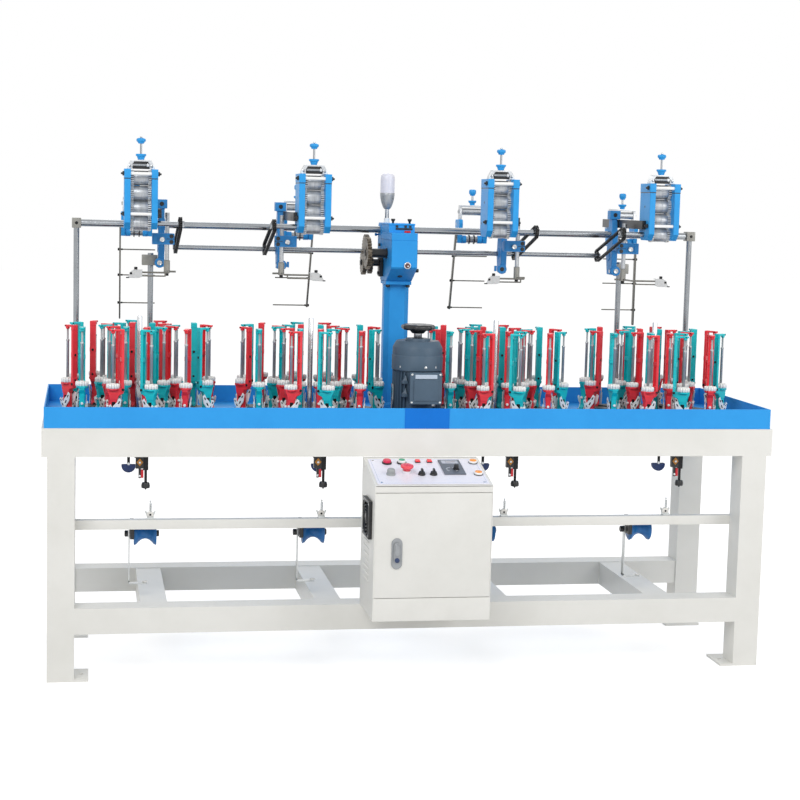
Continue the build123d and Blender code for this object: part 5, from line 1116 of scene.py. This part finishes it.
# Fan on the left side: black moulded guard of rings on a square frame, seven-bladed rotor behind it.
FAN = (-CAB_X / 1000, CAB_Y + FAN_Y / 1000, FAN_Z / 1000)
BAR, SPAN = (-11.6, -0.2), (-59.8, 59.8)
d = Drawing(*FAN)
for r in (17.5, 29, 40, 51.5):
    d.turned((0, 0, 0), RIGHT, ((-0.2, r - 1.6), (-10.5, r - 1.6), (-11.8, r), (-10.5, r + 1.6),
                                (-0.2, r + 1.6)), 40, caps=False)
for k in range(4):
    a = math.radians(45 + 90 * k)
    d.across([(u * math.cos(a) - v * math.sin(a), u * math.sin(a) + v * math.cos(a))
              for u, v in ((15, -2.4), (55, -2.4), (55, 2.4), (15, 2.4))], -0.2, -10, edge=0.6)
d.turned((-0.2, 0, 0), LEFT, ((0, 16.5), (9.5, 16.5), (11.4, 13), (11.7, 4)), 28)
for sy in (-1, 1):
    rail = (sy * 56 - 3.9, sy * 56 + 3.9)
    d.slab(BAR, rail, SPAN, 1.2)
    d.slab(BAR, SPAN, rail, 1.2)
    for sz in (-1, 1):
        d.across([(sy * u, sz * v) for u, v in ((58, 58), (58, 24), (44, 36), (36, 44), (24, 58))],
                 -0.2, -9.5, edge=0.6)
        d.turned((-9.5, sy * 50, sz * 50), LEFT, ((0, 3.6), (1.8, 3.6), (2.2, 2.4)), 12, 1)
piece("fan_guard_moulded", d, (painted_shade_and_black_mould, bright_screw), ["fan_guard"], "black_plastic", 35)

BLADES, SKIN = 7, Vector((0.6, 0, 0))
d = Drawing(*FAN)
d.turned((0.4, 0, 0), RIGHT, ((0, 15), (1.5, 17.6), (20, 17.6), (21.4, 16)), 28)
for k in range(BLADES):
    rows = []
    for share in (0.0, 0.5, 1.0):
        a = 2 * math.pi * k / BLADES + share * 0.20
        out, wide = Vector((0, math.cos(a), math.sin(a))), Vector((0, -math.sin(a), math.cos(a)))
        middle = Vector((12, 0, 0)) + out * (16.5 + 31 * share)
        tip = wide * (6 + 3.5 * share) + Vector((4.8 - 1.6 * share, 0, 0))
        rows.append([d.at(middle + p) for p in (SKIN - tip, SKIN + tip, tip - SKIN, -tip - SKIN)])
    d.skin(rows)
piece("fan_rotor_blades", d, (painted_shade_and_black_mould,), ["fan_rotor"], "black_plastic", 35, body="fan")

# ---------------------------------------------------------------- control desk
# A white film on an alloy plate, with the push buttons, lamps, selectors and grey speed unit.
# The caps are glossy mouldings with a clear coat; the film, the window and the collar are smoother still.
film = surface("white_lilac_panel_film", "#F1F0FA", "#E9E8F5", 0.33, grain=4, patch=80, peel=0.02, coat=0.2)
film_line = surface("printed_panel_line", "#A9B8D8", "#9DAED2", 0.35, grain=4, patch=80, peel=0.0)
crimson = surface("crimson_button_cap", "#E30F4A", "#D20D42", 0.36, grain=3, patch=20, peel=0.02, coat=0.5)
coral = surface("coral_mushroom_cap", "#F14B57", "#E5404C", 0.28, grain=3, patch=20, peel=0.02, coat=0.4)
jade = surface("jade_button_cap", "#00A376", "#009068", 0.28, grain=3, patch=20, peel=0.02, coat=0.4)
signal_red = surface("lit_red_square", "#FF3B40", "#F02E34", 0.25, grain=3, patch=20, peel=0.0, coat=0.4)
amber = surface("amber_lamp_cap", "#FF9C12", "#F58C00", 0.22, grain=3, patch=20, peel=0.0, coat=0.5)
buzzer_grey = surface("grey_buzzer_moulding", "#A4A8A8", "#8E9292", 0.35, grain=2, patch=15, peel=0.1)
clear_collar = surface("pale_clear_collar", "#E6E6EA", "#D6D6DC", 0.12, grain=3, patch=20, peel=0.0, coat=0.8)
speed_grey = surface("speed_unit_grey", "#616874", "#59606C", 0.38, grain=2, patch=30, peel=0.08)
display_grey = surface("display_window", "#B6BCCB", "#A9B0C2", 0.18, grain=3, patch=20, peel=0.0, coat=0.5)
scale_white = surface("white_scale_print", "#DDE1E8", "#CDD2DC", 0.4, grain=3, patch=20, peel=0.0)
SLOPE = math.atan2(DESK_HIGH - DESK_LOW, DESK_END)
NORMAL = Vector((0, -math.sin(SLOPE), math.cos(SLOPE)))
UPHILL = Vector((0, math.cos(SLOPE), math.sin(SLOPE)))
PLATE_TOP = 2                                    # the film lies on the alloy plate
DESK = (0, CAB_Y, DESK_LOW / 1000)


def on_desk(x, up, height=0.0):
    """A place on the panel's face: across, up the slope, and above the film."""
    return Vector((x, 0, 0)) + UPHILL * up + NORMAL * (height + PLATE_TOP)


def desk_block(d, x, up, half_x, half_up, low, high, edge=0.8, slot=0):
    corners = ((-1, -1), (1, -1), (1, 1), (-1, 1))
    d.prism([on_desk(x + u * half_x, up + v * half_up, low) for u, v in corners], NORMAL * (high - low), edge,
            slot)


MIDDLE = math.hypot(DESK_HIGH - DESK_LOW, DESK_END) / 2
d = Drawing(*DESK)
desk_block(d, 0, MIDDLE, 178, 107, -1.95, -0.15, 0.6)
for sx, sv, hx, hv in ((0, -1, 170, 0.5), (0, 1, 170, 0.5), (-1, 0, 0.5, 99), (1, 0, 0.5, 99)):
    desk_block(d, sx * 170, MIDDLE + sv * 99, hx, hv, -0.2, -0.05, 0.0, 1)
for x in (-163, 163):
    for up in (-92, 92):
        d.turned(on_desk(x, MIDDLE + up, -0.2), NORMAL, ((0, 4.2), (0.1, 4.2), (0.15, 3.0)), 14, 2)
piece("control_panel_film", d, (film, film_line, bright_screw), ["control_panel"], "panel_film", 35)

STOP, START, MUSHROOM, BUZZER = (-121, 184), (-73, 184), (-71, 104), (-124, 88)
SELECTORS, LAMPS, SQUARES = ((-26, 86), (12, 86)), ((160, 186), (157, 88)), ((-20, 193), (18, 193))
SCALE_X, SCALE_UP, SCALE_R = 78, 120, 17.5
d = Drawing(*DESK)
desk_block(d, 82, 143, 34.8, 60.8, 0, 4.0, 1.2, 3)
desk_block(d, 82, 182, 27, 13, 3.9, 4.6, 0.4, 4)
desk_block(d, 84, 182, 16, 1.6, 4.5, 4.75, 0.0, 9)
for k in range(19):
    a = math.radians(15 * k - 135)
    if k % 6 != 3:
        desk_block(d, SCALE_X + SCALE_R * math.sin(a), SCALE_UP + SCALE_R * math.cos(a), 1.6, 1.6,
                   3.9, 4.25, 0.0, 5)
for spot in (STOP, START):
    d.turned(on_desk(*spot), NORMAL, ((0, 15.8), (3.4, 15.8), (4.8, 15.0), (4.8, 13.6), (0.2, 13.6)), 28,
             caps=False)
for spot in LAMPS:
    d.turned(on_desk(*spot), NORMAL, ((0, 14.8), (2.4, 14.8)), 28)
    d.turned(on_desk(*spot), NORMAL, ((2.3, 13.6), (7.4, 13.2), (8.4, 12.2)), 28, 1)
    d.turned(on_desk(*spot), NORMAL, ((8.2, 11.4), (9.8, 10.8), (10.8, 7.5), (10.95, 2)), 28, 7)
for spot in SELECTORS:
    d.turned(on_desk(*spot), NORMAL, ((0, 11.9), (3.4, 11.9), (4.9, 10.6)), 28)
d.turned(on_desk(*BUZZER), NORMAL, ((0, 14.8), (2.2, 14.8), (4.9, 13.8)), 28, 2)
d.turned(on_desk(*BUZZER), NORMAL, ((4.8, 12.8), (7.0, 12.8), (7.4, 12.0), (8.0, 12.0), (8.4, 12.8),
                                    (10.6, 12.8), (11.0, 12.0), (11.6, 12.0), (12.0, 12.8), (15.5, 12.6),
                                    (18.4, 10.6), (19.6, 6), (19.9, 1)), 28, 2)
for spot in SQUARES:
    desk_block(d, *spot, 8.4, 8.4, 0, 2.2, 0.5)
    desk_block(d, *spot, 7.6, 7.6, 2.1, 7.9, 1.4, 6)
d.turned(on_desk(*MUSHROOM), NORMAL, ((0, 14.8), (7.0, 14.6), (7.9, 13.6), (7.9, 11.5), (0.2, 11.5)), 28, 8,
         caps=False)
piece("panel_mounted_units", d, (painted_shade_and_black_mould, white_acetal_and_painted_glint, buzzer_grey, speed_grey, display_grey,
                                 scale_white, signal_red, amber, clear_collar, dark_red), ["panel_fittings"],
      "black_plastic", 35)

for name, spot, cap, rim, finish in (("stop_button", STOP, crimson, 0, "red_plastic"),
                                     ("start_button", START, jade, 1, "green_plastic")):
    d = Drawing(*DESK)
    d.turned(on_desk(*spot, 3.4), NORMAL, ((0, 13.0), (7.4, 13.0), (8.3, 12.2), (8.4, 10.4)), 28, rim)
    d.turned(on_desk(*spot, 3.4), NORMAL, ((8.2, 10.6), (8.9, 10.0), (9.0, 4)), 28)
    piece(name + "_cap", d, (cap, white_acetal_and_painted_glint), [name], finish, 35, body=name)
d = Drawing(*DESK)
d.turned(on_desk(*MUSHROOM, 4.4), NORMAL, ((0, 10.5), (9.8, 10.5)), 24)
d.turned(on_desk(*MUSHROOM, 14.4), NORMAL, ((0, 15.4), (3.4, 16.4), (4.6, 20.4), (7, 21.0), (9.8, 20.0),
                                            (11.6, 16), (12.6, 9), (12.8, 2)), 36)
piece("emergency_mushroom", d, (coral,), ["emergency_stop"], "red_plastic", 45, body="emergency_stop")
for name, (x, up) in zip(("selector_left", "selector_right"), SELECTORS):
    d = Drawing(*DESK)
    d.turned(on_desk(x, up, 5.4), NORMAL, ((0, 9.8), (3.6, 9.8), (4.7, 8.8)), 24)
    for low, tall, edge, slot, outline in (
            (9.8, 10.2, 0.8, 0, ((-3.2, -9.2), (3.2, -9.2), (3.4, 4), (0, 9.3), (-3.4, 4))),
            (19.95, 0.2, 0.0, 1, ((-0.5, 2), (0.5, 2), (0.5, 8), (-0.5, 8)))):
        d.prism([on_desk(x + u, up + v, low) for u, v in outline], NORMAL * tall, edge, slot)
    piece(name + "_pointer", d, (painted_shade_and_black_mould, white_acetal_and_painted_glint), [name], "black_plastic", 35, body=name)
d = Drawing(*DESK)
d.turned(on_desk(91, 120, 5.4), NORMAL, ((0, 9.5), (0.4, 10.6), (2.8, 10.2), (3.6, 7.8), (14, 7.0),
                                         (15.6, 6.2)), 28)
d.prism([on_desk(91 + u, 120 + v, 5.4) for u, v in ((-1.0, 9), (1.0, 9), (0.7, 13.5), (-0.7, 13.5))],
        NORMAL * 3, 0.2, 1)
piece("speed_knob_skirted", d, (painted_shade_and_black_mould, white_acetal_and_painted_glint), ["speed_knob"], "black_plastic", 35,
      body="speed_knob")

# ---------------------------------------------------------------- under the table
# Thread tension brackets, half-round guide wheels, the yarn bar with its eyelets, and the pulleys.
# Brackets and wheels hang from beam and deck; the bar lies behind the legs and carries the pulleys.
navy = surface("navy_enamel", "#1E3E78", "#17315F", 0.36, grain=2, patch=30, peel=0.12)
bronze = surface("bronze_tension_disc", "#A9763C", "#7E562A", 0.35, metal=0.8, grain=1.5, patch=10, peel=0.1)
red_block = surface("red_moulded_block", "#C9202C", "#A81A24", 0.4, grain=2, patch=20, peel=0.1)
pulley_blue = surface("pulley_blue_nylon", "#1C6CB0", "#165C98", 0.42, grain=3, patch=30, peel=0.1)
BEAM = 1000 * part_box("top_frame")[0].z           # underside of the table's beam
d = Drawing()
for _ in d.heads(FRONT + 0.055, mirrored=False):
    d.slab((-25, 20), (4, 30), (BEAM - 8, BEAM), 1.0)
    d.slab((-18, 8), (8, 24), (BEAM - 47, BEAM - 7), 1.6)
    d.facing([(u - 5, BEAM - 26 + v) for u, v in ((0, 13), (11, 0), (0, -13), (-11, 0))], 7.5, -3, 0.6, 2)
    d.turned((-5, 4.5, BEAM - 26), FORTH, ((0, 4), (3.5, 4), (4.4, 3)), 12, 4)
    d.slab((6, 22), (8, 22), (BEAM - 52, BEAM - 7), 1.6, 1)
    d.slab((-1.2, 7), (10, 20), (BEAM - 77, BEAM - 50), 1.2, 3)
    for x in (-18, 12):
        d.turned((x, 11, BEAM - 8), DOWN, ((0, 4.4), (3.6, 4.4), (4.2, 3.4)), 6, 1)
    # tension arm, its rod and the round weight
    d.slab((-8.8, -1.2), (12.2, 17.8), (640.5, BEAM - 46), 1.0)
    d.turned((-5, 12.2, 648), FORTH, ((0, 3.6), (2, 3.6), (2.6, 2.6)), 10, 4)
    d.rod((14, 15, 625.5), (14, 15, BEAM - 46), 4.4, 14, 1)
    d.turned((14, 15, 604.2), UP, ((0, 2.6), (4.4, 3.2), (5.0, 12.0), (6.5, 13.6), (14, 14.0), (20, 12.4),
                                   (22.6, 11.6), (22.8, 4)), 24)
# half-round wheels on their flat hangers from the deck
WHEEL_X, WHEEL_Z = -33, 640
HALF_TURN = [math.radians(180 + 7.5 * i) for i in range(25)]
for _ in d.heads(HEAD_Y):
    d.slab((WHEEL_X - 4.8, WHEEL_X + 4.8), (-6.8, -4), (WHEEL_Z, DECK_TOP - 8), 0.4, 1)
    d.skin([[d.at((WHEEL_X + r * math.cos(a), y, WHEEL_Z + r * math.sin(a))) for a in HALF_TURN] +
            [d.at((WHEEL_X + u, y, WHEEL_Z + 2.2)) for u in (r, -r)] for y, r in
            ((-7.8, 21), (-7, 23.6), (-4, 23.6), (-0.5, 18), (3, 23.6), (7, 23.6), (7.8, 21))], 5)
    d.slab((WHEEL_X - 22, WHEEL_X + 22), (-7.8, 7.8), (640.5, 644), 0.8, 5)
    d.turned((WHEEL_X, -7.7, 646), FORTH, ((-2, 5.0), (0.1, 5.0), (0.2, 3)), 6, 4)
piece("tension_brackets_black", d, (painted_shade_and_black_mould, black_screw_and_painted_shade, bronze, red_block, bright_screw, navy),
      ["tensioners"], "black_steel", 35)

ceramic = surface("white_ceramic_eye", "#DEDCD7", "#CFCCC5", 0.18, grain=3, patch=20, peel=0.02, coat=0.6)
BAR_Y, BAR_Z, LEG_X = (92, 122), (470.5, 501.5), 1140
WING = ((4, 4), (11, 8), (18.0, 24), (12.6, 26.5), (8.4, 17), (4, 12))
COILS, PER_COIL, COIL_R, WIRE_R = 9, 14, 3.6, 0.8
STUD = Vector((0, -4.9, 0))
d = Drawing(0, FRONT)
d.slab((-LEG_X, LEG_X), BAR_Y, BAR_Z, 1.4)
for x in (-0.859, -0.305, 0.309, 0.872):
    d.origin = Vector((x, FRONT + 0.107, BAR_Z[1] / 1000))
    d.slab((-11, 11), (-10.6, 10.6), (0, 9), 1.2, 1)
    # ceramic disc between bent steel wings
    d.turned((0, 4.2, 15), FORTH, ((0, 9), (1, 11.6), (8.5, 11.6), (9.6, 10.0), (9.7, 3.4), (7.5, 2.8)),
             28, 2)
    d.turned((0, -4.8, 15), FORTH, ((0, 3.4), (1.4, 3.4), (1.6, 1.6)), 12, 4)
    for _ in d.sides():
        d.facing(WING, 4.5, -1.2, 0.2, 1)
    # stud with its coil spring
    d.rod((0, -4.9, 24), (0, -4.9, 58.5), 1.7, 10, 1)
    wire = []
    for i in range(COILS * PER_COIL + 1):
        a = 2 * math.pi * i / PER_COIL
        wire.append(Vector((COIL_R * math.cos(a), COIL_R * math.sin(a), 27 + 26 * i / (COILS * PER_COIL))))
    rows = []
    for before, p, after in zip(wire[:1] + wire, wire, wire[1:] + wire[-1:]):
        out = Vector((p.x, p.y, 0)).normalized()
        up = (after - before).normalized().cross(out)
        rows.append([d.at(STUD + p + (out * math.cos(b) + up * math.sin(b)) * WIRE_R)
                     for b in [math.pi * q / 3 for q in range(6)]])
    d.skin(rows, 1)
    d.turned((0, -4.9, 57.5), UP, ((0, 3.4), (2.4, 3.4), (3.2, 2.4)), 8, 3)
piece("yarn_bar_eyelets", d, (ivory_enamel, zinc, ceramic, bright_screw, black_screw_and_painted_shade), ["yarn_bar"],
      "frame_paint", 35)

# Four waisted nylon pulleys with flanged ends, each free on its own axle.
PULLEY_Y, PULLEY_Z = FRONT + 0.165, 444
PULLEYS = (-0.873, -0.324, 0.253, 0.800)
FLANGE = ((31.5, 36.5), (33, 38), (35, 38), (35.9, 36.5), (36, 8.3))
WAIST = [(14 / 3 * t - 28, 17.0 + 18.5 * (t / 6 - 1) ** 2) for t in range(13)]
for k, x in enumerate(PULLEYS, 1):
    d = Drawing(x, PULLEY_Y, PULLEY_Z / 1000)
    d.turned((0, 0, 0), RIGHT, [(-u, r) for u, r in FLANGE[::-1]] + WAIST + list(FLANGE), 40, caps=False)
    d.turned((0, 0, 0), RIGHT, ((-36, 8.3), (36, 8.3)), 40, caps=False)
    name = f"guide_pulley_{k}"
    piece(name + "_waisted", d, (pulley_blue,), [name], "blue_casting", 40, body=name)

# Black bearing blocks and axle ends, and the flat zinc hanger strips that end in a thread eye.
STRIP_SIDE = ((-12, 285), (11, 285), (11, 470), (8, 491), (-8, 491), (-12, 480))
STRIP_FOOT = ((0, 290), (0, 281), (3, 278.4), (60, 278.4), (60, 281.6), (4.2, 281.6), (3.6, 283), (3.6, 290))
d = Drawing()
for x in PULLEYS:
    d.origin = Vector((x, PULLEY_Y, 0))
    d.slab((-49.3, -36.3), (-43, 12.8), (PULLEY_Z - 11.8, BAR_Z[1] - 9), 1.8)
    d.rod((-36.3, 0, PULLEY_Z), (36.3, 0, PULLEY_Z), 7.9, 20)
    d.turned((36.3, 0, PULLEY_Z), RIGHT, ((0, 10.4), (7.6, 10.4), (8.8, 8.6)), 20)
    d.turned((-54.3, 0, PULLEY_Z), LEFT, ((0, 10.4), (10.4, 10.4), (11.8, 8.6)), 20)
    d.across(STRIP_SIDE, -49.4, -3.6, edge=0.3, slot=1)
    d.facing([(u - 53, z) for u, z in STRIP_FOOT], -12, 23, 0.3, 1)
    rows = []
    for i in range(29):
        a = 2 * math.pi * i / 28
        out = Vector((math.cos(a), math.sin(a), 0))
        rows.append([d.at(Vector((2, 0, 284.8 + 1.6 * math.sin(b))) + out * (8.2 + 1.6 * math.cos(b)))
                     for b in [math.pi * q / 4 for q in range(8)]])
    d.skin(rows, 2, caps=False)
piece("pulley_bracket_strips", d, (painted_shade_and_black_mould, zinc, ceramic), ["pulley_brackets"], "black_steel", 35)
